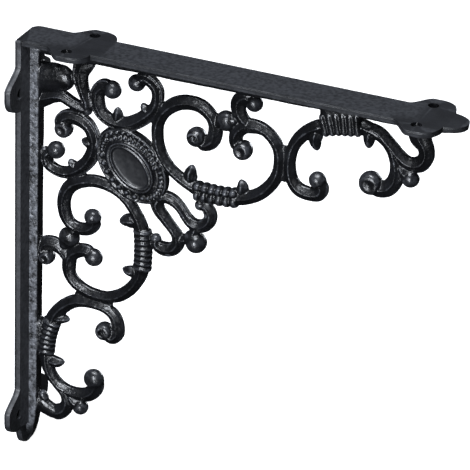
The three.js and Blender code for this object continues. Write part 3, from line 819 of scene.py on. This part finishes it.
@dataclass(frozen=True)
class Plate:
    """The arm or the leg, drawn as it lies under the shelf: plan along X, outer face at z = 0."""

    length: float
    width: float
    near_ears: tuple[Ear, ...]
    far_ears: tuple[Ear, ...]
    holes: tuple[Spot, ...]
    rib_corner: float
    rib_nose: float
    start: float
    thickness: float = 3.2
    root: float = 4.7
    bore: float = 5.9
    nose: float = 13.0
    taper: float = 3.5
    rib_width: float = 7.5
    rib_runout: float = 26.0
    far_corner: float = 5.0
    near_corner: float = 1.2
    outer_round: float = 2.4
    # where the draft starts, how deep the rib's foot is sunk and how far it narrows at the nose,
    # how round the lips are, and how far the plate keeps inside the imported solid
    INSIDE_CORNER = 1.6
    RIB_SUNK = 1.2
    NOSE_NARROWING = 0.45
    LIP_ROUND = 0.36
    HAIR = 0.005

    def half_width(self, along: float, ears: Sequence[Ear]) -> float:
        """Half the plate's width, ears included.

        Args:
            along: Place along the plate.
            ears: The ears on that side.

        Returns:
            The half width, in mm.
        """
        into = max(0.0, (along - (self.length - self.nose)) / self.nose)
        base = self.width / 2
        if into > 0:
            base = (self.width - self.taper) / 2 * math.sqrt(max(0.0, 1 - into * into))
        return base + max(ear.stand(along, base) for ear in ears)

    def side(self, ears: Sequence[Ear], corner: float) -> list[Spot]:
        """One side of the plan, from the corner to the nose.

        Args:
            ears: The ears on that side.
            corner: Radius of the plate's corner there.

        Returns:
            Points as (along, half width).
        """
        bend = []
        for degrees in range(90, -1, -15):
            angle = math.radians(degrees)
            place = max(self.start, corner * (1 - math.sin(angle)))
            bend.append((place, self.width / 2 - corner * (1 - math.cos(angle))))
        straight = self.length - self.nose
        places = {straight + self.nose * math.sin(math.radians(angle)) for angle in range(0, 88, 7)}
        places.update(corner + 2.4 * step for step in range(1, int((straight - corner) / 2.4)))
        for ear in ears:
            places = {place for place in places if abs(place - ear.middle) > ear.length / 2 + 0.6}
            places.update(ear.middle + ear.length / 2 * share / 14 for share in range(-14, 15))
            places.update(ear.middle + ear.length / 2 * share for share in (0.96, 0.985))
        places = {place for place in places if corner + 0.5 < place < self.length - 0.4}
        return bend + [(place, self.half_width(place, ears)) for place in sorted(places)]

    def slab(self) -> BMesh:
        """The flat plate with its ears, screw holes and rounded edges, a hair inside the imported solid.

        Returns:
            A new mesh in millimetres.
        """
        mesh = bmesh.new()
        near = [(along, -half) for along, half in self.side(self.near_ears, self.near_corner)]
        far = [(along, half) for along, half in reversed(self.side(self.far_ears, self.far_corner))]
        rim = [mesh.verts.new((along, across, 0.0)) for along, across in [*near, (self.length, 0.0), *far]]
        edges = [mesh.edges.new(pair) for pair in pairwise([*rim, rim[0]])]
        for along, across in self.holes:
            place = Matrix.Translation((along, across, 0.0))
            made = bmesh.ops.create_circle(
                mesh, cap_ends=False, radius=self.bore / 2, segments=28, matrix=place,
            )["verts"]
            edges += {edge for vert in made for edge in vert.link_edges}
        bmesh.ops.triangle_fill(mesh, use_beauty=True, use_dissolve=False, edges=edges)
        bmesh.ops.recalc_face_normals(mesh, faces=mesh.faces)
        thicken(mesh, (0.0, 0.0, -self.thickness))
        outer = [
            edge for edge in mesh.edges
            if all(vert.co.x < self.start + 0.01 and vert.co.z > -0.01 for vert in edge.verts)
        ]
        self.round_off(mesh, outer, self.outer_round, 4)
        self.seam(mesh)
        lips = [
            edge for edge in mesh.edges
            if len(edge.link_faces) == 2
            and sorted(abs(face.normal.z) > 0.9 for face in edge.link_faces) == [False, True]
            and not all(-self.thickness + 0.1 < vert.co.z < -0.1 for vert in edge.verts)
        ]
        self.round_off(mesh, lips, self.LIP_ROUND, 3)
        bmesh.ops.translate(mesh, vec=(0.0, 0.0, -self.HAIR), verts=mesh.verts)
        return mesh

    def seam(self, mesh: BMesh) -> None:
        """Draws the edge in towards the hidden face, with the fine step where the mould's halves met.

        Args:
            mesh: The slab, changed in place.
        """
        # heights on the edge, and how far each is drawn in
        levels = ((-0.5, 0.0), (-0.68, 0.32), (-0.92, 0.06), (-1.9, 0.18))
        for level, _ in levels:
            bmesh.ops.bisect_plane(
                mesh, geom=[*mesh.verts, *mesh.edges, *mesh.faces],
                plane_co=(0, 0, level), plane_no=(0, 0, 1), dist=1e-4,
            )
        bore = self.bore / 2 + 0.2
        for vert in mesh.verts:
            along, across, up = vert.co
            in_bore = any(math.hypot(along - x, across - y) < bore for x, y in self.holes)
            if in_bore or along < self.start + 2.6:
                continue
            drawn = next((inward for level, inward in levels if abs(up - level) < 1e-3), 0.0)
            if up < 0.1 - self.thickness:
                drawn = 0.5
            wander = 0.1 + 0.12 * noise.noise(Vector((along * 0.3, across * 0.3, up * 0.8)))
            inward = Vector((min(along, self.length - self.nose) - along, -across, 0.0)).normalized()
            vert.co += inward * (drawn + wander)

    @staticmethod
    def round_off(mesh: BMesh, edges: Sequence[BMEdge], radius: float, segments: int) -> None:
        """Rounds edges.

        Args:
            mesh: The mesh that holds them.
            edges: The edges.
            radius: How far the round reaches from the edge.
            segments: Faces across it.
        """
        bmesh.ops.bevel(
            mesh, geom=edges, offset=radius, offset_type="OFFSET", segments=segments, profile=0.5,
            affect="EDGES", clamp_overlap=True, material=-1,
        )

    def draft(self) -> BMesh:
        """The hidden face's slope, thickening from the edge to the rib.

        Returns:
            A new mesh in millimetres.
        """
        lip, low, foot = self.width / 2 - 0.6, -self.thickness + 0.25, self.rib_width / 2
        near = [(-lip, low + 0.9), (-lip, low), (-foot - 1.6, -self.root)]
        outline = near + other_side(near)
        mesh = bmesh.new()
        mesh.faces.new([mesh.verts.new((self.INSIDE_CORNER, across, up)) for across, up in outline])
        thicken(mesh, (self.length - self.nose - self.thickness, 0.0, 0.0))
        return mesh

    def rib(self) -> BMesh:
        """The rib down the middle, square with broken edges, that dies into the nose like a hull.

        Returns:
            A new mesh in millimetres.
        """
        half, sunk = self.rib_width / 2, self.RIB_SUNK
        near = [
            (-half - 1.2, 0.0), (-half - 0.3, 0.18), (-half, 0.34), (-half * 0.99, 0.78),
            (-half * 0.93, 0.92), (-half * 0.78, 0.985), (-half * 0.4, 1.0),
        ]
        places = []
        end = self.length - self.thickness / 2
        runout = end - self.rib_runout
        for along in [*range(2, int(runout), 2), *self.runout_places(end)]:
            into = max(0.0, (along - runout) / self.rib_runout)
            share = math.sqrt(max(0.0, 1 - into * into))
            if into > 0:
                deep = (self.rib_nose - self.thickness) * share + sunk * max(share, 0.5)
            else:
                fall = (self.rib_nose - self.rib_corner) * along / (self.length - self.rib_runout)
                deep = self.rib_corner + fall - self.thickness + sunk
            size = Matrix.Diagonal((1.0, 1.0 - self.NOSE_NARROWING * into ** 3, deep, 1.0))
            places.append(Matrix.Translation((along, 0.0, sunk - self.thickness)) @ size)
        mesh = bmesh.new()
        ring = [mesh.verts.new((0.0, across, -down)) for across, down in near + other_side(near)]
        draw_on(mesh, ring, places)
        return mesh

    def runout_places(self, end: float) -> list[float]:
        """Places along the stretch where the rib dies into the nose.

        Args:
            end: Where the rib ends.

        Returns:
            Places along the plate, closer together towards the end.
        """
        return [end - self.rib_runout * (1 - math.sin(math.radians(step))) for step in range(0, 88, 6)]


ARM = Plate(
    length=250.0, width=22.5,
    near_ears=(Ear(30.4, 40.8), Ear(226.0, 42.6)), far_ears=(Ear(34.8, 40.8), Ear(226.0, 42.6)),
    holes=((30.4, -12.85), (34.8, 12.85), (226.0, -12.85), (226.0, 12.85)),
    rib_corner=9.4, rib_nose=7.6, start=0.05,
)
LEG = Plate(
    length=252.0, width=24.6,
    near_ears=(Ear(27.8, 50.0), Ear(225.4, 50.0)), far_ears=(Ear(27.8, 50.0), Ear(225.4, 50.0)),
    holes=((30.4, -12.85), (30.4, 12.85), (228.0, -12.85), (228.0, 12.85)),
    rib_corner=10.4, rib_nose=9.4, start=0.12, outer_round=2.5,
)


class NodeKit:
    """A short hand for wiring nodes in one tree."""

    def __init__(self, tree: bpy.types.NodeTree) -> None:
        """Keeps the tree that the nodes go into.

        Args:
            tree: A material's or a group's node tree.
        """
        self.tree = tree

    def add(self, kind: str, **settings: object) -> bpy.types.Node:
        """Adds a node.

        Args:
            kind: The node's type name.
            settings: Attributes of the node, and values of its inputs by name.

        Returns:
            The new node.
        """
        node = self.tree.nodes.new(kind)
        for name, value in settings.items():
            if hasattr(node, name):
                setattr(node, name, value)
            else:
                node.inputs[name.replace("_", " ")].default_value = value
        return node

    def link(self, start: bpy.types.NodeSocket, end: bpy.types.NodeSocket) -> None:
        """Joins an output to an input."""
        self.tree.links.new(start, end)

    def math(self, operation: str, first: object, second: object) -> bpy.types.NodeSocket:
        """A sum of two values, each a socket or a number.

        Args:
            operation: The Math node's operation.
            first: The first value.
            second: The second value.

        Returns:
            The socket with the result.
        """
        node = self.add("ShaderNodeMath", operation=operation)
        for place, value in enumerate((first, second)):
            if isinstance(value, bpy.types.NodeSocket):
                self.link(value, node.inputs[place])
            else:
                node.inputs[place].default_value = value
        return node.outputs[0]

    def remap(
        self, value: bpy.types.NodeSocket, low: float, high: float, to_low: float, to_high: float,
    ) -> bpy.types.NodeSocket:
        """A value moved from one range to another, held inside it.

        Args:
            value: The socket to read.
            low: Start of the range that comes in.
            high: End of the range that comes in.
            to_low: Start of the range that goes out.
            to_high: End of the range that goes out.

        Returns:
            The socket with the result.
        """
        node = self.add("ShaderNodeMapRange", clamp=True)
        for place, number in enumerate((low, high, to_low, to_high), start=1):
            node.inputs[place].default_value = number
        self.link(value, node.inputs[0])
        return node.outputs[0]


def new_group(
    name: str, inputs: dict[str, float], outputs: Sequence[str],
) -> tuple[NodeKit, bpy.types.Node, bpy.types.Node]:
    """A shader node group with named number sockets.

    Args:
        name: The group's name.
        inputs: Names of its inputs and their usual values.
        outputs: Names of its outputs.

    Returns:
        Its node kit, its input node and its output node.
    """
    tree = bpy.data.node_groups.new(name, "ShaderNodeTree")
    for socket, value in inputs.items():
        tree.interface.new_socket(socket, in_out="INPUT", socket_type="NodeSocketFloat").default_value = value
    for socket in outputs:
        tree.interface.new_socket(socket, in_out="OUTPUT", socket_type="NodeSocketFloat")
    kit = NodeKit(tree)
    return kit, kit.add("NodeGroupInput"), kit.add("NodeGroupOutput")


def sand_skin_group() -> bpy.types.NodeTree:
    """The skin that the sand mould leaves: fine grains, pits and slow lumps.

    Returns:
        A group with the outputs Height, Grain and Patch.
    """
    scales = {"Grain Scale": 900.0, "Lump Scale": 150.0}
    kit, given, out = new_group("sand_skin", scales, ("Height", "Grain", "Patch"))
    place = kit.add("ShaderNodeTexCoord").outputs["Object"]
    fine = kit.add("ShaderNodeTexNoise", Detail=3.0, Roughness=0.62)
    lumps = kit.add("ShaderNodeTexNoise", Detail=2.0, Roughness=0.5)
    pits = kit.add("ShaderNodeTexVoronoi", feature="SMOOTH_F1", Smoothness=0.6)
    for node, socket in ((fine, "Grain Scale"), (lumps, "Lump Scale"), (pits, "Grain Scale")):
        kit.link(place, node.inputs["Vector"])
        kit.link(given.outputs[socket], node.inputs["Scale"])
    grain = kit.remap(fine.outputs[0], 0.3, 0.7, 0.0, 1.0)
    patch = kit.remap(lumps.outputs[0], 0.35, 0.65, 0.0, 1.0)
    pitted = kit.remap(pits.outputs["Distance"], 0.0, 0.7, 0.0, 1.0)
    height = kit.math("ADD", kit.math("MULTIPLY", grain, 0.5), kit.math("MULTIPLY", patch, 0.3))
    kit.link(kit.math("ADD", height, kit.math("MULTIPLY", pitted, 0.2)), out.inputs["Height"])
    kit.link(grain, out.inputs["Grain"])
    kit.link(patch, out.inputs["Patch"])
    return kit.tree


def edge_wear_and_light_group() -> bpy.types.NodeTree:
    """Masks for ridges and corners, where rubbed wear and a painted highlight go, and for hollows, where
    painted shade goes.

    Returns:
        A group with two outputs: the ridge mask for rubbed wear and painted highlight, and the hollow mask
            for painted shade.
    """
    kit, given, out = new_group("edge_wear_and_light", {"Reach": 0.04, "Break Scale": 500.0}, ("Wear And Highlight", "Hollow Shade"))
    bend = kit.add("ShaderNodeNewGeometry").outputs["Pointiness"]
    spots = kit.add("ShaderNodeTexNoise", Detail=2.0)
    kit.link(kit.add("ShaderNodeTexCoord").outputs["Object"], spots.inputs["Vector"])
    kit.link(given.outputs["Break Scale"], spots.inputs["Scale"])
    broken = kit.remap(spots.outputs[0], 0.35, 0.6, 0.25, 1.0)
    flat, slack = 0.5, 0.015
    above = kit.math("DIVIDE", kit.math("SUBTRACT", bend, flat + slack), given.outputs["Reach"])
    below = kit.math("DIVIDE", kit.math("SUBTRACT", flat - slack, bend), given.outputs["Reach"])
    kit.link(kit.math("MULTIPLY", kit.remap(above, 0.0, 1.0, 0.0, 1.0), broken), out.inputs["Wear And Highlight"])
    kit.link(kit.remap(below, 0.0, 1.0, 0.0, 1.0), out.inputs["Hollow Shade"])
    return kit.tree


@dataclass(frozen=True)
class BlackPaint:
    """Satin black paint on sand-cast iron. Colours are linear."""

    name: str
    colour: tuple[float, float, float]
    grey: tuple[float, float, float]
    # the hollow colour is painted shade in creases and hollows
    hollow_shade: tuple[float, float, float]
    # the rubbed colour is rubbed wear together with a painted highlight along ridges and corners
    wear_and_highlight: tuple[float, float, float]
    roughness: float
    roughness_spread: float
    relief: float
    grain_scale: float
    lump_scale: float
    wear_and_highlight_amount: float
    # the sand colour is pale specks painted as glints, which on the front of the leg's rib make a painted
    # highlight band
    painted_glint: tuple[float, float, float] = (0.165, 0.172, 0.19)
    sand_rough: float = 0.36
    dulled: tuple[float, float, float] = (0.009, 0.0094, 0.011)
    dull_rough: float = 0.16
    # share of the relief where the skin is smoothest and where it is sandiest
    relief_range: tuple[float, float] = (0.03, 1.5)

    def material(self, groups: dict[str, bpy.types.NodeTree]) -> bpy.types.Material:
        """The material with its nodes.

        Args:
            groups: The shared groups, by name.

        Returns:
            A new material.
        """
        made = bpy.data.materials.new(self.name)
        made.use_nodes = True
        kit = NodeKit(made.node_tree)
        shader = made.node_tree.nodes["Principled BSDF"]
        shader.inputs["Specular IOR Level"].default_value = 0.5
        skin = kit.add("ShaderNodeGroup", node_tree=groups["sand_skin"])
        skin.inputs["Grain Scale"].default_value = self.grain_scale
        skin.inputs["Lump Scale"].default_value = self.lump_scale
        edge_and_hollow = kit.add("ShaderNodeGroup", node_tree=groups["edge_wear_and_light"])
        tone = self.blend(kit, skin.outputs["Patch"], self.colour, self.grey)
        # the darker colour in hollows is painted shade
        tone = self.blend(kit, edge_and_hollow.outputs["Hollow Shade"], tone, self.hollow_shade)
        # the pale colour on ridges and corners is rubbed wear and a painted highlight
        wear_and_highlight_share = kit.math("MULTIPLY", edge_and_hollow.outputs["Wear And Highlight"], self.wear_and_highlight_amount)
        tone = self.blend(kit, wear_and_highlight_share, tone, self.wear_and_highlight)
        # pale specks where the skin is sandy are painted glints; on the front of the leg's rib they make a
        # painted highlight band
        sand_and_glint = kit.add("ShaderNodeAttribute", attribute_name="sand_and_glint").outputs["Fac"]
        grains = kit.remap(skin.outputs["Grain"], 0.1, 0.95, 0.0, 1.0)
        glint_speck = kit.math("MULTIPLY", grains, kit.math("POWER", sand_and_glint, 3.0))
        tone = self.blend(kit, glint_speck, tone, self.painted_glint)
        dull = kit.add("ShaderNodeAttribute", attribute_name="dull").outputs["Fac"]
        kit.link(self.blend(kit, dull, tone, self.dulled), shader.inputs["Base Color"])
        gloss = kit.remap(skin.outputs["Grain"], 0.0, 1.0, self.roughness + self.roughness_spread,
                          self.roughness - self.roughness_spread)
        dry = kit.math("MULTIPLY", sand_and_glint, self.sand_rough - self.roughness)
        dry = kit.math("ADD", dry, kit.math("MULTIPLY", dull, self.dull_rough))
        kit.link(kit.math("ADD", gloss, dry), shader.inputs["Roughness"])
        bump = kit.add("ShaderNodeBump", Strength=1.0, Distance=self.relief)
        share = kit.remap(sand_and_glint, 0.0, 1.0, *self.relief_range)
        relief = kit.math("MULTIPLY", skin.outputs["Height"], share)
        kit.link(relief, bump.inputs["Height"])
        kit.link(bump.outputs["Normal"], shader.inputs["Normal"])
        return made

    @staticmethod
    def blend(
        kit: NodeKit, mask: bpy.types.NodeSocket, first: object, second: object,
    ) -> bpy.types.NodeSocket:
        """Two colours mixed by a mask, each a socket or a colour.

        Args:
            kit: The tree's node kit.
            mask: Share of the second colour.
            first: The colour where the mask is 0.
            second: The colour where the mask is 1.

        Returns:
            The socket with the mixed colour.
        """
        node = kit.add("ShaderNodeMix", data_type="RGBA")
        kit.link(mask, node.inputs["Factor"])
        for place, value in ((6, first), (7, second)):
            if isinstance(value, bpy.types.NodeSocket):
                kit.link(value, node.inputs[place])
            else:
                node.inputs[place].default_value = (*value, 1.0)
        return node.outputs[2]


SCROLL_PAINT = BlackPaint(
    name="black_paint_on_carving", colour=(0.0018, 0.0019, 0.0023), grey=(0.005, 0.0053, 0.0066),
    hollow_shade=(0.001, 0.001, 0.0012), wear_and_highlight=(0.16, 0.168, 0.19), roughness=0.25, roughness_spread=0.1,
    relief=0.00042, grain_scale=430.0, lump_scale=150.0, wear_and_highlight_amount=0.5,
)
PLATE_PAINT = BlackPaint(
    name="black_paint_on_plates", colour=(0.01, 0.0105, 0.0122), grey=(0.0155, 0.0163, 0.019),
    hollow_shade=(0.006, 0.006, 0.007), wear_and_highlight=(0.1, 0.104, 0.115), roughness=0.5, roughness_spread=0.06,
    relief=0.00014, grain_scale=560.0, lump_scale=90.0, wear_and_highlight_amount=0.3,
)


class Casting:
    """The whole casting: plates, ribs and carving as one piece."""

    VOXEL = 0.42
    SOFTEN_FACTOR = 0.5
    SOFTEN_TIMES = 3
    # swells of the skin: how close together, and how high in mm
    SWELLS = ((0.14, 0.16), (0.55, 0.07))
    TARGET_TRIANGLES = 172_000
    CARVING_SLOT = 0
    PLATE_SLOT = 1
    # how sandy the skin is on the plates and the carving, which also sets how many glint specks are painted
    # there
    PLATE_SAND_AND_GLINT = 0.3
    CARVING_SAND_AND_GLINT = 0.28
    SHARPEST_SMOOTH = math.radians(48)

    def __init__(self, groups: dict[str, bpy.types.NodeTree]) -> None:
        """Keeps the shared node groups.

        Args:
            groups: The shared groups, by name.
        """
        self.groups = groups

    def carving(self) -> BMesh:
        """Ribs, scrollwork and medallion as closed shells that overlap.

        Returns:
            A new mesh in millimetres.
        """
        mesh = bmesh.new()
        pour(mesh, ARM.rib())
        pour(mesh, LEG.rib(), ACROSS_THE_DIAGONAL)
        pour(mesh, ARM_WORK.build())
        pour(mesh, LEG_WORK.build(), ACROSS_THE_DIAGONAL)
        pour(mesh, Medallion().build())
        pour(mesh, MiddleForms().build())
        return mesh

    def fused(self) -> BMesh:
        """The carving melted into one skin, as it leaves the mould.

        Returns:
            A new mesh in millimetres, under the target count of triangles.
        """
        raw = in_order(self.carving())
        held = bpy.data.meshes.new("fusing")
        raw.to_mesh(held)
        raw.free()
        thing = put_in_scene("fusing", held)
        melt = thing.modifiers.new("melt", "REMESH")
        melt.mode, melt.voxel_size = "VOXEL", self.VOXEL
        soften = thing.modifiers.new("soften", "SMOOTH")
        soften.factor, soften.iterations = self.SOFTEN_FACTOR, self.SOFTEN_TIMES
        skin = self.applied(thing)
        count = triangles(skin)
        LOG.info("carving fused: %d triangles", count)
        self.wander(skin)
        thing.modifiers.clear()
        thing.data = skin
        thin = thing.modifiers.new("thin", "DECIMATE")
        thin.ratio = min(1.0, self.TARGET_TRIANGLES / count)
        lean = self.applied(thing)
        LOG.info("carving thinned: %d triangles", triangles(lean))
        bpy.data.objects.remove(thing)
        mesh = bmesh.new()
        mesh.from_mesh(lean)
        for spare in (held, skin, lean):
            bpy.data.meshes.remove(spare)
        # the sandiness attribute sets the skin's roughness and relief and its painted glint specks, strongest
        # on the leg rib's front as a painted highlight band
        sand_and_glint, dull = mesh.verts.layers.float.new("sand_and_glint"), mesh.verts.layers.float.new("dull")
        medallion = Medallion()
        for vert in mesh.verts:
            vert[sand_and_glint] = self.sand_and_glint_level(vert.co)
            vert[dull] = medallion.inside_dish(vert.co)
        return mesh

    def wander(self, skin: bpy.types.Mesh) -> None:
        """Lets the skin rise and fall a little, in slow swells and smaller ones.

        Args:
            skin: The fused skin in millimetres, changed in place.
        """
        mesh = bmesh.new()
        mesh.from_mesh(skin)
        for vert in mesh.verts:
            drift = sum(noise.noise(vert.co * close) * high for close, high in self.SWELLS)
            vert.co += vert.normal * drift * self.unevenness(vert.co)
        mesh.to_mesh(skin)
        mesh.free()

    def plates(self) -> BMesh:
        """Both plates in place, with the plates' paint outside the screw holes and the darker carving paint
        inside them as painted shade.

        Returns:
            A new mesh in millimetres.
        """
        mesh = bmesh.new()
        for plate, place in ((ARM, None), (LEG, ACROSS_THE_DIAGONAL)):
            pour(mesh, plate.slab(), place)
            pour(mesh, plate.draft(), place)
        # the bores take the darker carving paint: painted shade inside the screw holes
        for face in mesh.faces:
            bored = self.in_a_bore(face.calc_center_median())
            face.material_index = self.CARVING_SLOT if bored else self.PLATE_SLOT
        sand_and_glint = mesh.verts.layers.float.new("sand_and_glint")
        for vert in mesh.verts:
            vert[sand_and_glint] = self.PLATE_SAND_AND_GLINT
        return mesh

    @staticmethod
    def in_a_bore(place: Vector) -> bool:
        """Whether a place on a plate is inside one of its screw holes.

        Args:
            place: A place on the casting, in mm from its corner.

        Returns:
            True inside a bore.
        """
        on_leg = place.x < -place.z
        plate, here = (LEG, -place.z) if on_leg else (ARM, place.x)
        reach = plate.bore / 2 + 0.1
        return any(math.hypot(here - along, place.y - across) < reach for along, across in plate.holes)

    @staticmethod
    def unevenness(place: Vector) -> float:
        """How far the skin wanders at a place, from almost none in the medallion's dish to 1."""
        out, down = Medallion.middle
        calm, least = 10.0, 0.15
        return min(1.0, least + max(0.0, math.hypot(place.x - out, place.z + down) - calm) / calm)

    @staticmethod
    def sand_and_glint_level(place: Vector) -> float:
        """How rough the mould left the skin, and how strongly pale specks are painted on as glints: most on
        the front of the leg's rib, where they make a painted highlight band, least in the medallion's dish.

        Args:
            place: A place on the casting, in mm from its corner.

        Returns:
            From 0 to 1.
        """
        bar_starts, blend, past_rib, dish_reach = 2.6, (0.8, 1.2), 5, 18.0
        front = min(1.0, max(0.0, (abs(place.y) - bar_starts) / blend[0])) if abs(place.y) < past_rib else 0.0
        rib = front * min(1.0, max(0.0, (LEG.rib_corner - place.x) / blend[1]))
        out, down = Medallion.middle
        dish = min(1.0, math.hypot(place.x - out, place.z + down) / dish_reach)
        return max(rib, Casting.CARVING_SAND_AND_GLINT * dish * dish)

    @staticmethod
    def applied(thing: bpy.types.Object) -> bpy.types.Mesh:
        """An object's mesh with its modifiers applied.

        Args:
            thing: The object.

        Returns:
            A new mesh.
        """
        seen = thing.evaluated_get(bpy.context.evaluated_depsgraph_get())
        return bpy.data.meshes.new_from_object(seen)

    def build(self) -> bpy.types.Object:
        """Makes the piece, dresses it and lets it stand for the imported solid.

        Returns:
            The new object.
        """
        whole = self.fused()
        pour(whole, self.plates())
        bmesh.ops.transform(whole, matrix=TO_ROW, verts=whole.verts)
        data = bpy.data.meshes.new("casting")
        whole.to_mesh(data)
        whole.free()
        data.materials.append(SCROLL_PAINT.material(self.groups))
        data.materials.append(PLATE_PAINT.material(self.groups))
        data.shade_smooth()
        data.set_sharp_from_angle(angle=self.SHARPEST_SMOOTH)
        piece = put_in_scene("casting", data)
        even = piece.modifiers.new("even_shading", "WEIGHTED_NORMAL")
        even.keep_sharp = True
        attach(piece, "root")
        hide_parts("bracket")
        LOG.info("casting: %d triangles", triangles(data))
        return piece


@dataclass(frozen=True)
class SoftBox:
    """A large soft lamp that looks at the bracket."""

    name: str
    azimuth: float
    elevation: float
    distance: float
    width: float
    height: float
    power: float

    def build(self, middle: Vector) -> bpy.types.Object:
        """Hangs the lamp.

        Args:
            middle: What it looks at.

        Returns:
            The lamp.
        """
        lamp = bpy.data.lights.new(self.name, "AREA")
        lamp.shape = "RECTANGLE"
        lamp.size, lamp.size_y, lamp.energy = self.width, self.height, self.power
        lamp.color = (0.9, 0.94, 1.0)
        hung = put_in_scene(self.name, lamp)
        back = way_back(math.radians(self.azimuth), math.radians(self.elevation))
        hung.location = middle + back * self.distance
        hung.rotation_mode = "QUATERNION"
        hung.rotation_quaternion = (-back).to_track_quat("-Z", "Y")
        return hung


@dataclass(frozen=True)
class Studio:
    """A pale floor, soft lamps and the camera of the photograph."""

    boxes: tuple[SoftBox, ...] = (
        SoftBox("front", -2.0, 6.0, 1.4, 0.3, 0.6, 21.0),
        SoftBox("low", 8.0, -22.0, 1.4, 0.25, 0.4, 3.0),
        SoftBox("top", 0.0, 66.0, 1.4, 0.7, 0.5, 27.0),
        SoftBox("back", 168.0, 3.0, 1.4, 0.4, 0.6, 8.0),
    )
    sky: float = 0.012
    camera_azimuth: float = 0.38687654
    camera_elevation: float = 0.4755237
    camera_roll: float = 0.03830624
    camera_place: tuple[float, float, float] = (0.678791, -1.36028, 0.69456)
    lens: float = 238.115

    def build(self) -> None:
        """Sets up the floor, the lamps, the surroundings and the camera."""
        low, high = CAD_BOUNDS
        middle = (low + high) / 2
        self.floor(low.z)
        for box in self.boxes:
            box.build(middle)
        world = bpy.data.worlds.new("studio_air")
        world.use_nodes = True
        kit = NodeKit(world.node_tree)
        air = world.node_tree.nodes["Background"]
        air.inputs["Color"].default_value = (0.97, 0.98, 1.0, 1.0)
        air.inputs["Strength"].default_value = self.sky
        wall = kit.add("ShaderNodeBackground", Strength=1.0)
        seen = kit.add("ShaderNodeMixShader")
        kit.link(kit.add("ShaderNodeLightPath").outputs["Is Camera Ray"], seen.inputs[0])
        kit.link(air.outputs[0], seen.inputs[1])
        kit.link(wall.outputs[0], seen.inputs[2])
        kit.link(seen.outputs[0], world.node_tree.nodes["World Output"].inputs["Surface"])
        bpy.context.scene.world = world
        bpy.context.scene.view_settings.view_transform = "Standard"
        self.camera()

    @staticmethod
    def floor(height: float) -> None:
        """The plain pale floor.

        Args:
            height: Where it lies.
        """
        mesh = bmesh.new()
        bmesh.ops.create_grid(mesh, x_segments=1, y_segments=1, size=30.0)
        bmesh.ops.translate(mesh, vec=(0.0, 0.0, height), verts=mesh.verts)
        data = bpy.data.meshes.new("floor")
        mesh.to_mesh(data)
        mesh.free()
        paper = bpy.data.materials.new("pale_floor")
        paper.use_nodes = True
        shader = paper.node_tree.nodes["Principled BSDF"]
        shader.inputs["Base Color"].default_value = (0.9, 0.9, 0.9, 1.0)
        shader.inputs["Roughness"].default_value = 0.9
        shader.inputs["Emission Color"].default_value = (1.0, 1.0, 1.0, 1.0)
        shader.inputs["Emission Strength"].default_value = 0.9
        data.materials.append(paper)
        thing = put_in_scene("floor", data)
        thing.visible_glossy = thing.visible_diffuse = False

    def camera(self) -> None:
        """The camera, solved from the photograph's own corners and screw holes."""
        side, roll = self.camera_azimuth, self.camera_roll
        back = way_back(side, self.camera_elevation)
        level = Vector((math.cos(side), math.sin(side), 0.0))
        up = back.cross(level)
        right = math.cos(roll) * level + math.sin(roll) * up
        top = -math.sin(roll) * level + math.cos(roll) * up
        data = bpy.data.cameras.new("camera")
        data.sensor_fit = "HORIZONTAL"
        data.sensor_width = 36.0
        data.lens = self.lens
        data.clip_start, data.clip_end = 0.05, 100.0
        eye = put_in_scene("camera", data)
        turned = Matrix((right, top, back)).transposed().to_4x4()
        eye.matrix_world = Matrix.Translation(self.camera_place) @ turned
        bpy.context.scene.camera = eye


def main() -> None:
    """Builds the studio and the casting, and reports each."""
    logging.basicConfig(level=logging.INFO, format="%(name)s: %(message)s")
    Studio().build()
    groups = {"sand_skin": sand_skin_group(), "edge_wear_and_light": edge_wear_and_light_group()}
    piece = Casting(groups).build()
    LOG.info("%s stands for the packed solid", piece.name)
    bpy.context.view_layer.update()


if __name__ == "__main__":
    main()
